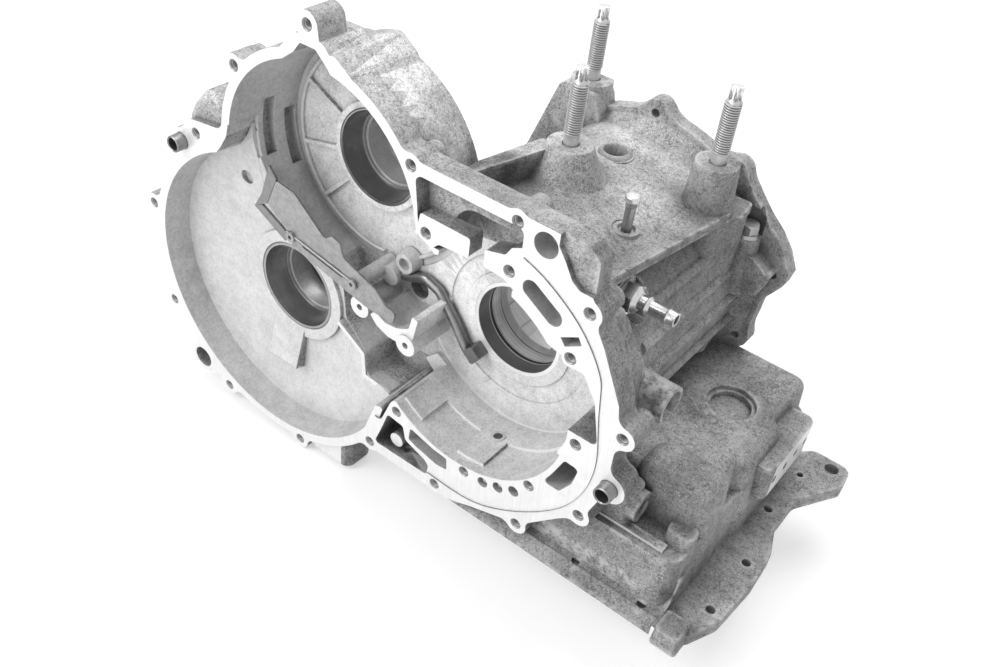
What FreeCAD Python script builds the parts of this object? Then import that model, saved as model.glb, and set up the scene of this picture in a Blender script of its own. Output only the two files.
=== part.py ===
import FreeCAD
import Part
import math
import os

# Main case of an automatic transaxle, in millimetres.
# X runs along the mating face to the right, Y goes back from the face into the case, Z is up.
# Depths are counted from the mating face. The nodes are written with the origin on the main shaft
# axis at the front rim of its bore, so the mating face lies that depth in front of it.

V = FreeCAD.Vector
X_AXIS = V(1, 0, 0)
Y_AXIS = V(0, 1, 0)
Z_AXIS = V(0, 0, 1)

# Shaft axes on the mating face, as (x, z)
MAIN = (0.0, 0.0)
DIFF = (-187.5, -46.5)
IDLER = (-133.5, 80.5)

# Mating flange
FLANGE_THICKNESS = 18.0
BOSS_RADIUS = 8.5
BOSS_LENGTH = 25.0
BLEND_RADIUS = 8.0
SCREW_HOLE_RADIUS = 3.4
SCREW_HOLE_MOUTH = 4.4
SCREW_HOLE_DEPTH = 21.0
RIGHT_SCREWS = [
    (27.6, 132.0), (-53.9, 133.0), (84.1, 96.7), (122.1, 21.7), (104.6, -61.3),
    (59.1, -106.3), (-14.9, -121.0), (-79.9, -122.0),
]
# Screws around a gear pocket, as (angle, reach beyond the pocket's radius)
DIFF_RIM_SCREWS = [(-76.4, 9.5), (-114.6, 12.4), (-152.3, 13.7), (167.4, 13.1), (120.7, 15.3)]
IDLER_RIM_SCREWS = [(142.2, 10.3), (93.8, 24.9)]
IDLER_RIBS = (10.0, 46.0, 82.0, 118.0, 154.0, 193.5, 226.0, 334.0)
INNER_SCREWS = [
    (-38.9, 91.2), (26.1, 96.2), (77.1, 58.7), (92.1, -3.8), (64.1, -63.3),
    (10.1, -89.3), (-54.9, -73.8),
]

# Gear pockets
DIFF_POCKET_RADIUS = 120.5
DIFF_POCKET_DEPTH = 23.0
DIFF_FLOOR_DROP = 9.0
DIFF_RIM_WIDTH = 8.0
IDLER_POCKET_RADIUS = 87.0
IDLER_POCKET_DEPTH = 63.0
IDLER_RIM_WIDTH = 7.5
MAIN_POCKET_RADIUS = 85.0
MAIN_POCKET_DEPTH = 60.0
POCKET_STEP_DEPTH = 36.0
POCKET_STEP = 2.5
WALL = 6.0

# Bearing bores and the pieces that sit in them
PRESS_CLEARANCE = 0.02
SEAT_GAP = 0.05
DIFF_CUP_RADIUS = 38.0
DIFF_CUP_INNER = 33.0
DIFF_CUP_LENGTH = 19.0
DIFF_HUB_RADIUS = 47.5
DIFF_HUB_FRONT = 29.0
DIFF_HUB_BACK = 78.0
DIFF_SEAL_RADIUS = 31.0
DIFF_SEAL_INNER = 18.0
DIFF_SEAL_WIDTH = 9.0
IDLER_CUP_RADIUS = 36.5
IDLER_CUP_INNER = 32.3
IDLER_CUP_LENGTH = 17.0
IDLER_HUB_RADIUS = 43.0
IDLER_HUB_FRONT = 58.5
IDLER_HUB_BACK = 104.0
IDLER_PLUG_RADIUS = 15.0
IDLER_PLUG_LENGTH = 9.0
MAIN_SLEEVE_RADIUS = 37.0
MAIN_SLEEVE_INNER = 34.1
MAIN_SLEEVE_LENGTH = 26.0
MAIN_HUB_RADIUS = 45.0
MAIN_HUB_FRONT = MAIN_POCKET_DEPTH
MAIN_HUB_BACK = MAIN_HUB_FRONT + 36.0
MAIN_BORE_RADIUS = 35.5
RING_THICKNESS = 1.6
RING_RADIUS = 38.8
SHIM_THICKNESS = 2.0

# Rear barrel around the main axis
BARREL_RADIUS = 95.0
BARREL_BORE = 88.0
BARREL_FLOOR = MAIN_POCKET_DEPTH + 8.0
CASE_LENGTH = 226.0
DECK_BACK = CASE_LENGTH - 14.0
CHAMBER_END = CASE_LENGTH - 4.0
REAR_FLANGE_RADIUS = 112.0
REAR_FLANGE_THICKNESS = 13.0
REAR_BOLTS = [
    (-4.0, 113.0), (66.0, 94.0), (115.0, 30.0), (102.0, -34.0), (-36.0, -108.0), (-100.0, -52.0),
    (-113.0, 10.0), (-78.0, 82.0),
]
REAR_BOSS_RADIUS = 10.5
REAR_CORNER = [(40, 60), (78, 92), (97, 71), (110, 60), (120, 48), (127, 34), (125, 24), (116, 10), (60, 0)]
SPLINE_COUNT = 18

# Valve chamber and pan rail
RAIL_Z = -128.0
RAIL_THICKNESS = 11.0
RAIL_LEFT = -76.0
RAIL_RIGHT = 210.5
CHAMBER_RIGHT = 176.0
CHAMBER_TOP = -45.0
RAIL_HOLE_RADIUS = 3.4
RAIL_HOLES = [(x, 10.5) for x in (-50, 2, 54, 106, 160)] + [(198, y) for y in (38.5, 91.5)] + [
    (187, 149), (-67, 60), (-67, 140)] + [(x, CASE_LENGTH - 12.0) for x in (170, 110, 50, -10, -62)]

# Mount towers and studs
STUD_SEAT_Z = 118.0
STUD_RADIUS = 6.0
STUD_PROUD = 56.0
STUD_SUNK = 26.0
STUDS = [(-16.8, 121.0), (-62.5, CASE_LENGTH - 10.0), (66.5, CASE_LENGTH - 50.0)]
TOWER_TOP_RADIUS = 17.0

# Top shelf and its fittings
SHELF_Z = 86.0
SHELF_THICKNESS = 7.0
RING_BOSS = (-6.5, CASE_LENGTH - 59.0)
RING_BOSS_TOP = 97.0
VENT = (47.0, 100.0)
VENT_BOSS_TOP = 87.0
VENT_SUNK = 10.0
VENT_TOP = 116.0
VENT_RADIUS = 3.5
FITTING_Y = 77.0
FITTING_Z = 60.0
FITTING_FACE_X = 66.0
FITTING_THREAD_RADIUS = 6.0
FITTING_WASHER = 1.5
FITTING_HEX = 19.0
BRACKET_BOLT = (90.0, CASE_LENGTH - 18.0)
BRACKET_BOLT_SEAT = 56.0
BOLT_RADIUS = 4.0
BOLT_LENGTH = 19.0

# Flange outline and its locating features
FLANGE_RIGHT = [
    (-60, 138), (56, 138), (75, 137), (83, 129), (84, 100), (98, 78), (115, 44), (119, 20),
    (119, -30), (108, -60), (90, -76), (62, -105), (20, -119), (5, -125), (-5, RAIL_Z),
    (-75, RAIL_Z), (-120, -60), (-120, 60),
]
LEFT_LUG = [(-235, 84), (-262, 80), (-284, 58), (-284, 38), (-303, 4), (-240, -20), (-200, 60)]
LARGE_HOLE = (-128.9, 18.7)
LARGE_HOLE_RADIUS = 9.5
BLIND_HOLE = (48.6, 126.2)
BLIND_HOLE_RADIUS = 8.5
LEFT_DOWEL = (129.8, 14.5)
RIGHT_DOWEL = (121.1, -22.8)
DOWEL_RADIUS = 6.5
DOWEL_BORE = 4.6
DOWEL_STEP = 0.4
DOWEL_PROUD = 9.0
DOWEL_SUNK = 10.0

# Stamped baffle and bent pipe
BAFFLE_Y = 20.0
BAFFLE_THICKNESS = 1.6
BAFFLE_SCREWS = [(-181.5, 8.1), (-118.8, -1.9)]
POSTS = [(-113.6, -21.6), (-67.0, -30.0)]
PORTS = [(27.1, -87.8), (40.1, -83.3), (53.1, -77.3)]
PORT_RADIUS = 4.3
PIPE_RADIUS = 4.0
PIPE_Y = MAIN_POCKET_DEPTH - 4.4
PIPE_ROUTE = [(-108.5, -3.8), (-95, -1.5), (-80.5, 5.0), (-66.5, 0.5), (-50, -19.5), (-32.5, -44.5), (-26.5, -33.5)]
PIPE_BEND = 7.0
CHAMBER_BACK = MAIN_POCKET_DEPTH + 12.0
LOW_BOSS = (-98.7, 9.4)


def point(x, z, y=0.0):
    return V(x, y, z)


def cylinder_y(place, radius, y0, y1):
    """Round bar along Y at a place on the mating face."""
    return Part.makeCylinder(radius, y1 - y0, point(place[0], place[1], y0), Y_AXIS)


def cylinder_z(x, y, radius, z0, z1):
    """Round bar along Z."""
    return Part.makeCylinder(radius, z1 - z0, V(x, y, z0), Z_AXIS)


def cylinder_x(y, z, radius, x0, x1):
    """Round bar along X."""
    return Part.makeCylinder(radius, x1 - x0, V(x0, y, z), X_AXIS)


def cone_y(place, r0, r1, y0, y1):
    """Round taper along Y."""
    return Part.makeCone(r0, r1, y1 - y0, point(place[0], place[1], y0), Y_AXIS)


def cone_z(x, y, r0, r1, z0, z1):
    """Round taper along Z."""
    return Part.makeCone(r0, r1, z1 - z0, V(x, y, z0), Z_AXIS)


def box(x0, x1, y0, y1, z0, z1):
    """Plain box between two corners."""
    return Part.makeBox(x1 - x0, y1 - y0, z1 - z0, V(x0, y0, z0))


def rounded_wire(corners):
    """Closed wire through corners, each given as (point, radius)."""
    count = len(corners)
    edges = []
    cuts = []
    for i, (corner, radius) in enumerate(corners):
        before = corners[i - 1][0] - corner
        after = corners[(i + 1) % count][0] - corner
        before.normalize()
        after.normalize()
        half = before.getAngle(after) / 2.0
        if radius <= 0 or abs(half - math.pi / 2) < 1e-4:
            cuts.append((corner, None, corner))
            continue
        reach = radius / math.tan(half)
        middle = before + after
        middle.normalize()
        start = corner + before * reach
        end = corner + after * reach
        centre = corner + middle * (radius / math.sin(half))
        cuts.append((start, centre - middle * radius, end))
    for i, (start, middle, end) in enumerate(cuts):
        if middle is not None:
            edges.append(Part.Arc(start, middle, end).toShape())
        following = cuts[(i + 1) % count][0]
        if end.distanceToPoint(following) > 1e-4:
            edges.append(Part.LineSegment(end, following).toShape())
    return Part.Wire(edges)


def plate_y(corners, y0, y1):
    """Prism along Y from (x, z, radius) corners."""
    wire = rounded_wire([(point(x, z, y0), r) for x, z, r in corners])
    return Part.Face(wire).extrude(V(0, y1 - y0, 0))


def plate_z(corners, z0, z1):
    """Prism along Z from (x, y, radius) corners."""
    wire = rounded_wire([(V(x, y, z0), r) for x, y, r in corners])
    return Part.Face(wire).extrude(V(0, 0, z1 - z0))


def slot_y(a, b, radius, y0, y1):
    """Obround prism along Y between two centres."""
    length = math.hypot(b[0] - a[0], b[1] - a[1])
    side = V((b[1] - a[1]) / length * radius, 0, -(b[0] - a[0]) / length * radius)
    p, q = point(a[0], a[1], y0), point(b[0], b[1], y0)
    run = V(b[0] - a[0], 0, b[1] - a[1]).normalize()
    edges = [
        Part.LineSegment(p + side, q + side).toShape(),
        Part.Arc(q + side, q + run * radius, q - side).toShape(),
        Part.LineSegment(q - side, p - side).toShape(),
        Part.Arc(p - side, p - run * radius, p + side).toShape(),
    ]
    return Part.Face(Part.Wire(edges)).extrude(V(0, y1 - y0, 0))


def around(axis, reach, angle):
    """Place at a reach and an angle from a shaft axis."""
    turn = math.radians(angle)
    return (axis[0] + reach * math.cos(turn), axis[1] + reach * math.sin(turn))


def large_hole():
    """Place of the long bolt's hole on the differential rim."""
    return around(DIFF, DIFF_POCKET_RADIUS + LARGE_HOLE[1], LARGE_HOLE[0])


def dowel_places():
    """Places of the two locating sleeves."""
    return [around(DIFF, DIFF_POCKET_RADIUS + LEFT_DOWEL[1], LEFT_DOWEL[0]), RIGHT_DOWEL]


def top_screw():
    """Place of the screw above the transfer gear pocket."""
    angle, reach = IDLER_RIM_SCREWS[-1]
    return around(IDLER, IDLER_POCKET_RADIUS + reach, angle)


def flange_screws():
    """Places of all screws around the mating flange."""
    places = [around(DIFF, DIFF_POCKET_RADIUS + reach, angle) for angle, reach in DIFF_RIM_SCREWS]
    places += [around(IDLER, IDLER_POCKET_RADIUS + reach, angle) for angle, reach in IDLER_RIM_SCREWS]
    return RIGHT_SCREWS + places


def sector_y(axis, reach, start, end, y0, y1):
    """Wedge along Y around an axis between two angles."""
    a, b = around(axis, reach, start), around(axis, reach, end)
    return plate_y([(axis[0], axis[1], 0), (a[0], a[1], 0), (b[0], b[1], 0)], y0, y1)


def fused(shapes):
    """One shape from many, with shared faces cleaned."""
    return shapes[0].fuse(shapes[1:]).removeSplitter()


def taper_block(x0, x1, y0, y1, z0, z1, draft, corner):
    """Cast block that narrows towards its top, with round upright edges."""
    def ring(z, shrink):
        a, b, c, d = x0 + shrink, x1 - shrink, y0 + shrink, y1 - shrink
        corners = [V(a, c, z), V(b, c, z), V(b, d, z), V(a, d, z)]
        return rounded_wire([(p, corner) for p in corners])
    return Part.makeLoft([ring(z0, 0.0), ring(z1, draft)], True, True)


def taper_prism(outline, y0, y1, draft):
    """Prism along Y whose outline draws in towards the back."""
    front = Part.makePolygon([point(x, z, y0) for x, z in outline + outline[:1]])
    back = Part.Face(Part.makePolygon([point(x, z, y1) for x, z in outline + outline[:1]])).makeOffset2D(-draft)
    return Part.makeLoft([front, back.OuterWire], True, True)


def round_top(shape, radius):
    """Round the edges of a block's highest face."""
    top = shape.BoundBox.ZMax
    edges = [e for e in shape.Edges if abs(e.BoundBox.ZMin - top) < 1e-4]
    return shape.makeFillet(radius, edges)


# Mating flange

def flange_blank():
    """Flange plate with every boss blended into the rims."""
    pieces = [
        cylinder_y(DIFF, DIFF_POCKET_RADIUS + DIFF_RIM_WIDTH, 0, 1),
        cylinder_y(IDLER, IDLER_POCKET_RADIUS + IDLER_RIM_WIDTH, 0, 1),
        plate_y([(x, z, 0) for x, z in FLANGE_RIGHT], 0, 1),
        plate_y([(x, z, 0) for x, z in LEFT_LUG], 0, 1),
        slot_y(top_screw(), (-136, IDLER[1] + IDLER_POCKET_RADIUS - 7.5), 8.0, 0, 1),
        cylinder_y(large_hole(), LARGE_HOLE_RADIUS + 4.5, 0, 1),
        cylinder_y(dowel_places()[0], DOWEL_RADIUS + 4.0, 0, 1),
        cylinder_y(dowel_places()[1], DOWEL_RADIUS + 5.0, 0, 1),
    ]
    pieces += [cylinder_y(place, BOSS_RADIUS, 0, 1) for place in flange_screws()]
    sheet = fused(pieces)
    face = [f for f in sheet.Faces if abs(f.CenterOfMass.y) < 1e-6][0]
    outline = face.makeOffset2D(BLEND_RADIUS).makeOffset2D(-BLEND_RADIUS)
    return outline.extrude(V(0, FLANGE_THICKNESS, 0))


def flange_bosses():
    """Longer bosses behind the flange, one for each screw."""
    bosses = [cylinder_y(place, BOSS_RADIUS - 0.5, FLANGE_THICKNESS - 1, BOSS_LENGTH) for place in flange_screws()]
    ear = plate_y([(-220, 118, 5), (-232, 110, 5), (-247, 107, 6), (-262, 90, 6), (-270, 74, 5), (-240, 66, 0),
                   (-215, 85, 0)], 6, 24)
    return bosses + [ear]


# Outside of the case

def differential_back():
    """Dished back of the differential pocket with its bearing hub."""
    outer = DIFF_POCKET_RADIUS + DIFF_RIM_WIDTH - 2
    floor = DIFF_POCKET_DEPTH + DIFF_FLOOR_DROP + WALL
    pieces = [
        cylinder_y(DIFF, outer, 0, DIFF_POCKET_DEPTH),
        cone_y(DIFF, outer, DIFF_HUB_RADIUS + 22, DIFF_POCKET_DEPTH, floor),
        cone_y(DIFF, DIFF_HUB_RADIUS + 14, DIFF_HUB_RADIUS - 5, floor - 8, DIFF_HUB_BACK),
    ]
    for turn in range(8):
        angle = math.radians(22.5 + 45 * turn)
        rib = box(DIFF_HUB_RADIUS - 8, DIFF_POCKET_RADIUS - 6, DIFF_POCKET_DEPTH + 4, DIFF_POCKET_DEPTH + 26, -3, 3)
        wedge = box(0, 90, 0, 60, -4, 4)
        wedge.rotate(V(0, 0, 0), Z_AXIS, -19)
        wedge.translate(V(DIFF_HUB_RADIUS - 4, DIFF_POCKET_DEPTH + 30, 0))
        rib = rib.cut(wedge)
        rib.rotate(V(0, 0, 0), Y_AXIS, math.degrees(angle))
        rib.translate(point(DIFF[0], DIFF[1]))
        pieces.append(rib)
    return pieces


def idler_bell():
    """Bell behind the transfer gear pocket, with its hub and outside ribs."""
    outer = IDLER_POCKET_RADIUS + IDLER_RIM_WIDTH - 1
    back = IDLER_POCKET_DEPTH + WALL
    bell = cone_y(IDLER, outer, outer - 3, 0, back)
    edge = [e for e in bell.Edges if abs(e.BoundBox.YMin - back) < 1e-4]
    bell = bell.makeChamfer(7.0, edge)
    neck = slot_y(top_screw(), (-136, IDLER[1] + IDLER_POCKET_RADIUS - 7.5), 9.0, 0, 24)
    collar = plate_y([(-172, 150, 4), (-166, 169, 6), (-152, 184, 6), (-128, 185, 8), (-104, 160, 4)], 0, 36)
    shoulder = plate_y([(-172, 150, 4), (-154, 166, 6), (-132, 176, 10), (-118, 180, 5), (-104, 171, 10),
                        (-90, 150, 4)], 0, 60)
    slot_pad = plate_y([(-219, 20, 8), (-230, 45, 12), (-233, 103, 12), (-226, 123, 8), (-200, 123, 0),
                        (-196, 20, 0)], 14, 66)
    hub = cone_y(IDLER, IDLER_HUB_RADIUS + 3, IDLER_HUB_RADIUS - 2, back - 4, IDLER_HUB_BACK)
    return [bell, neck, collar, shoulder, slot_pad, hub]


def gear_chamber():
    """Deep middle of the case, between the three gear pockets, and the walls behind the flange."""
    middle = plate_y([
        (-160, 10, 6), (-152, -26, 6), (-147, -60, 8), (-127, -80, 8), (-122, -106, 8), (-50, -112, 8),
        (0, -60, 0), (0, 60, 0), (-40, 96, 6), (-100, 90, 0),
    ], 0, CHAMBER_BACK)
    right = taper_prism([(30, -80), (104, -52), (115, -6), (115, 12), (106, 42), (84, 74), (40, 84)], 14, 50, 4)
    top = taper_prism([(-64, 70), (-62, 116), (-50, 121), (42, 121), (64, 104), (80, 72), (30, 50)], 12, 46, 5)
    return [middle, right, top]


def main_barrel():
    """Barrel around the main shaft, with the rear flange and its bosses."""
    flange_front = CASE_LENGTH - REAR_FLANGE_THICKNESS
    sheet = fused([cylinder_y(MAIN, REAR_FLANGE_RADIUS, 0, 1)]
                  + [cylinder_y(place, REAR_BOSS_RADIUS, 0, 1) for place in REAR_BOLTS]
                  + [plate_y([(x, z, 0) for x, z in REAR_CORNER], 0, 1)])
    face = [f for f in sheet.Faces if abs(f.CenterOfMass.y) < 1e-6][0]
    flange = face.makeOffset2D(26).makeOffset2D(-26).extrude(V(0, REAR_FLANGE_THICKNESS, 0))
    flange.translate(V(0, flange_front, 0))
    return [
        cylinder_y(MAIN, BARREL_RADIUS, 0, CASE_LENGTH),
        cone_y(MAIN, BARREL_RADIUS - 1, REAR_FLANGE_RADIUS - 4, flange_front - 10, flange_front),
        flange,
    ]


def top_shelf():
    """Flat deck over the barrel, its edge fin, the front web and the sloped left side."""
    deck = plate_z([(-60, 12, 4), (60, 12, 10), (68, 48, 12), (86, STUDS[2][1], 14), (70, DECK_BACK, 6),
                    (-60, DECK_BACK, 6)],
                   SHELF_Z - SHELF_THICKNESS, SHELF_Z)
    crown = plate_y([(-62, 60, 4), (-50, 93, 14), (-8, 98, 24), (28, 93, 20), (62, SHELF_Z, 3), (50, 62, 3)],
                    12, DECK_BACK + 2)
    web = plate_z([(-58, 14, 2), (-50, 14, 2), (-26, 112, 2), (-30, 122, 2), (-38, 118, 2)], 60, 114)
    return [deck, crown, web]


def stud_towers():
    """Three tapered towers that carry the mount studs, each with a rib."""
    (x0, y0), (x1, y1), (x2, y2) = STUDS
    seat = STUD_SEAT_Z
    radius = TOWER_TOP_RADIUS
    side = Part.Arc(V(radius, 0, seat - 2), V(radius + 7, 0, seat - 16), V(radius + 30, 0, seat - 34)).toShape()
    low = V(radius + 30, 0, seat - 34)
    outline = [side, Part.LineSegment(low, V(0, 0, seat - 34)).toShape(),
               Part.LineSegment(V(0, 0, seat - 34), V(0, 0, seat)).toShape(),
               Part.LineSegment(V(0, 0, seat), V(radius - 0.8, 0, seat)).toShape(),
               Part.LineSegment(V(radius - 0.8, 0, seat), V(radius, 0, seat - 2)).toShape()]
    flare = Part.Face(Part.Wire(outline)).revolve(V(0, 0, 0), Z_AXIS, 360)
    flare.translate(V(x0, y0, 0))
    front = [flare, cylinder_z(x0, y0, radius, 70, seat - 10)]
    left = [
        cone_z(x1, y1, radius + 8, radius - 1, 40, seat),
        plate_y([(x1 - 48, 30, 0), (x1 - 17, seat - 3, 8), (x1 + 15, seat - 3, 8), (x1 + 24, 80, 6),
                 (x1 + 24, 30, 0)], y1 - 16, y1 + 8),
    ]
    right = [
        cone_z(x2, y2, radius + 6, radius - 1.5, 20, seat),
        plate_z([(x2 - 30, y2 - 14, 0), (x2 + 14, y2 - 20, 14), (x2 + 25, y2 + 8, 12), (x2 + 22, y2 + 30, 4),
                 (x2 - 30, y2 + 30, 0)], -40, SHELF_Z - 4),
    ]
    behind = box(-200, 0, CASE_LENGTH, CASE_LENGTH + 60, 0, 200)
    return front + [piece.cut(behind) for piece in left] + right


def pan_rail():
    """Rail that the oil pan bolts to, with its corner lug and rear ear."""
    top = RAIL_Z + RAIL_THICKNESS
    rail = plate_z([
        (RAIL_LEFT, 0, 6), (178, 0, 4), (197, 10, 8), (RAIL_RIGHT - 3, 34, 16), (RAIL_RIGHT, 78, 20),
        (RAIL_RIGHT - 2, 110, 10), (199, 136, 10), (199, CHAMBER_END - 50, 14), (221, CHAMBER_END - 12, 9),
        (219, CHAMBER_END + 10, 9), (188, CHAMBER_END + 10, 8), (178, CHAMBER_END, 8), (RAIL_LEFT, CHAMBER_END, 10),
    ], RAIL_Z, top)
    slope = Part.Face(Part.makePolygon([
        V(-6, -1, RAIL_Z + 1), V(-6, 0, RAIL_Z + 1), V(-6, 7, top), V(-6, 7, top + 1), V(-6, -1, top + 1),
        V(-6, -1, RAIL_Z + 1),
    ])).extrude(V(180, 0, 0))
    rail = rail.cut(slope)
    lug = taper_block(176, 196, -4, 17, RAIL_Z, top + 5, 1.0, 3.0)
    apron = Part.Face(Part.Wire([
        Part.LineSegment(V(0, 8, top), V(0, 30, top)).toShape(),
        Part.LineSegment(V(0, 30, top), V(0, 30, top + 26)).toShape(),
        Part.LineSegment(V(0, 30, top + 26), V(0, 24, top + 26)).toShape(),
        Part.Arc(V(0, 24, top + 26), V(0, 19, top + 8), V(0, 8, top)).toShape(),
    ])).extrude(V(236, 0, 0))
    apron.translate(V(-60, 0, 0))
    return [rail, lug, apron]


def valve_chamber():
    """Chamber over the pan rail: base block and the three rounded bulges on its right side."""
    top = RAIL_Z + RAIL_THICKNESS
    base = taper_block(RAIL_LEFT + 4, CHAMBER_RIGHT, 12, CHAMBER_END, top - 4, -72, 3.0, 12.0)
    deck = round_top(taper_block(40, 168, 48, CHAMBER_END, -80, CHAMBER_TOP, 4.0, 12.0), 9.0)
    front_bulge = round_top(taper_block(112, 177, 40, 88, top - 2, -36, 4.5, 13.0), 9.0)
    middle_bulge = round_top(taper_block(104, 180, 92, 178, top - 2, CHAMBER_TOP - 2, 6.5, 22.0), 11.0)
    rear_block = round_top(taper_block(60, 170, CHAMBER_END - 38, CHAMBER_END + 2, top - 2, CHAMBER_TOP, 4.0, 10.0), 7.0)
    post = taper_block(150, 177, 26, 50, top - 2, -62, 4.0, 6.0)
    return [base, deck, front_bulge, middle_bulge, rear_block, post]


def side_details():
    """Panel ribs, the round hood, the sensor block and the machined pad on the right side."""
    pieces = []
    for i, (height, reach) in enumerate([(50, 85), (30, 94), (8, 99), (-16, 99)]):
        pieces.append(plate_y([(60, height - 7, 0), (reach - 3, height - 5, 3), (reach, height, 3),
                               (reach - 4, height + 4, 3), (60, height + 6, 0)], 66 + 6 * i, DECK_BACK - 4))
    pieces.append(cylinder_x(52, 17, 13.5, 62, 127))
    pieces.append(taper_block(104, 131, 20, 46, -80, -46, 2.0, 6.0))
    pieces.append(cylinder_x(33, -58, 11.5, 116, 134))
    pieces.append(box(104, 160, 20, 27, -75, -70))
    pieces.append(taper_block(150, 186, 122, 197, -88, -58, 0.0, 8.0))
    bolt_x, bolt_y = BRACKET_BOLT
    pieces.append(cone_z(bolt_x, bolt_y, 15.0, 10.0, 12, BRACKET_BOLT_SEAT))
    pieces.append(plate_y([(50, 52, 0), (82, 48, 6), (104, 44, 8), (118, 34, 4), (112, 16, 4), (50, 4, 0)],
                          bolt_y - 10, CHAMBER_END))
    pieces.append(cylinder_x(FITTING_Y, FITTING_Z, 13.0, 50, FITTING_FACE_X))
    pieces.append(cylinder_z(VENT[0], VENT[1], 8.5, 70, VENT_BOSS_TOP))
    pieces.append(cylinder_z(*RING_BOSS, 14.0, 80, RING_BOSS_TOP))
    return pieces


def lower_foot():
    """Drain foot behind the differential rim."""
    return [taper_block(-156, -107, 5, 34, -177, -120, 0.0, 8.0)]


# Inside of the case

def gear_pockets():
    """Hollows that open at the mating face, to be cut."""
    edge = DIFF_POCKET_DEPTH
    drop = edge + DIFF_FLOOR_DROP
    hollows = [
        cone_y(DIFF, DIFF_POCKET_RADIUS, DIFF_POCKET_RADIUS - 1.5, -1, edge),
        cone_y(DIFF, DIFF_POCKET_RADIUS - 1.5, DIFF_HUB_RADIUS + 4, edge - 0.01, drop),
        cone_y(IDLER, IDLER_POCKET_RADIUS, IDLER_POCKET_RADIUS - 2.5, -1, IDLER_POCKET_DEPTH),
        cylinder_y(MAIN, MAIN_POCKET_RADIUS, -1, POCKET_STEP_DEPTH),
        cylinder_y(MAIN, MAIN_POCKET_RADIUS - POCKET_STEP, POCKET_STEP_DEPTH - 1, MAIN_POCKET_DEPTH),
        plate_y([
            (-150, -2, 4), (-140, -22, 4), (-136.5, -51.5, 5), (-111.2, -67.3, 5), (-108.8, -88.2, 5),
            (-84, -90.6, 4), (-70, -93, 5), (-60, -66, 8), (0, -40, 0), (0, 60, 0), (-44, 88, 0), (-90, 70, 0),
        ], -1, MAIN_POCKET_DEPTH),
        plate_y([(60, 4.5, 3), (107, 4.5, 4), (99, 37, 8), (88, 54, 8), (60, 60, 0)], -1, 44),
        plate_y([(-50, 129, 5), (33, 129, 5), (33, 84, 3), (-44, 84, 3)], -1, 12),
        plate_y([(-24, 115, 16), (30, 115, 8), (30, 60, 0), (-30, 60, 0)], -1, 36),
        plate_y([(-200, 92, 0), (-221, 92, 0), (-223.4, 82, 2), (-230, 71, 4), (-237, 62, 3), (-222, 55, 0), (-198, 70, 0)], -1, 26),
        plate_y([(-168, 156, 0), (-162.7, 163, 3), (-153.5, 170.2, 3), (-147.4, 178.4, 3), (-134, 178.6, 3),
                 (-124, 170, 3), (-115, 158, 0)], -1, 30),
        cylinder_y(MAIN, MAIN_HUB_RADIUS + 14, MAIN_POCKET_DEPTH - 1, MAIN_POCKET_DEPTH + 1.2),
    ]
    return fused(hollows)


def face_lands():
    """Lands that bridge the main pocket at the level of the mating face."""
    strip = plate_y([(-47, 88, 6), (-44, 104, 2), (-4.5, 104, 2), (-4.5, 90, 2), (-28, 88, 4), (-34, 82, 6)], 0, 13)
    arm = plate_y([
        (7, 90, 2), (7, 102, 2), (22, 106, 4), (26, 113, 3), (40, 120, 0), (70, 110, 0), (95, 70, 0), (110, 40, 0),
        (99, 37, 2), (88, 53, 3), (72, 52, 4), (70, 66, 3), (54, 70.7, 3), (23, 89, 2),
    ], 0, 15)
    corner = plate_y([(85, 4.5, 0), (110, 4.5, 0), (110, -20, 0), (80, -20, 0), (85, -5, 0)], 0, 24)
    return [strip, arm, corner]


def floor_screw_bosses():
    """Bosses that carry the stamped baffle and the socket of the bent pipe."""
    seat = BAFFLE_Y + BAFFLE_THICKNESS + SEAT_GAP
    deep = MAIN_POCKET_DEPTH + 2
    socket = PIPE_ROUTE[0]
    return [
        cone_y(BAFFLE_SCREWS[0], 6.5, 8.0, seat, DIFF_POCKET_DEPTH + DIFF_FLOOR_DROP + 2),
        cylinder_y(BAFFLE_SCREWS[1], 6.0, seat, deep),
        cylinder_y(socket, 8.0, PIPE_Y - 8, deep),
    ]


def dish_hub_and_gusset():
    """Raised bearing hub on the differential floor, its gusset and the thin rib beside it."""
    floor = DIFF_POCKET_DEPTH + DIFF_FLOOR_DROP + WALL
    hub = cone_y(DIFF, DIFF_HUB_RADIUS, DIFF_HUB_RADIUS + 2, DIFF_HUB_FRONT, floor)
    gusset = Part.Face(rounded_wire([
        (V(-212, DIFF_HUB_FRONT + 1, -84), 0), (V(-212, floor, -84), 0), (V(-212, floor, -128), 0),
        (V(-212, 19, -122), 0),
    ])).extrude(V(32, 0, 0))
    line = [(-137.9, -53.6), (-113.0, -68.9), (-110.8, -89.9), (-84.5, -92.2)]
    rib = [slot_y(a, b, 1.9, 25.5, floor) for a, b in zip(line, line[1:])]
    return [hub, gusset, cylinder_y((-235.1, 32.5), 9.0, 30.0, 42.0)] + rib


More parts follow.
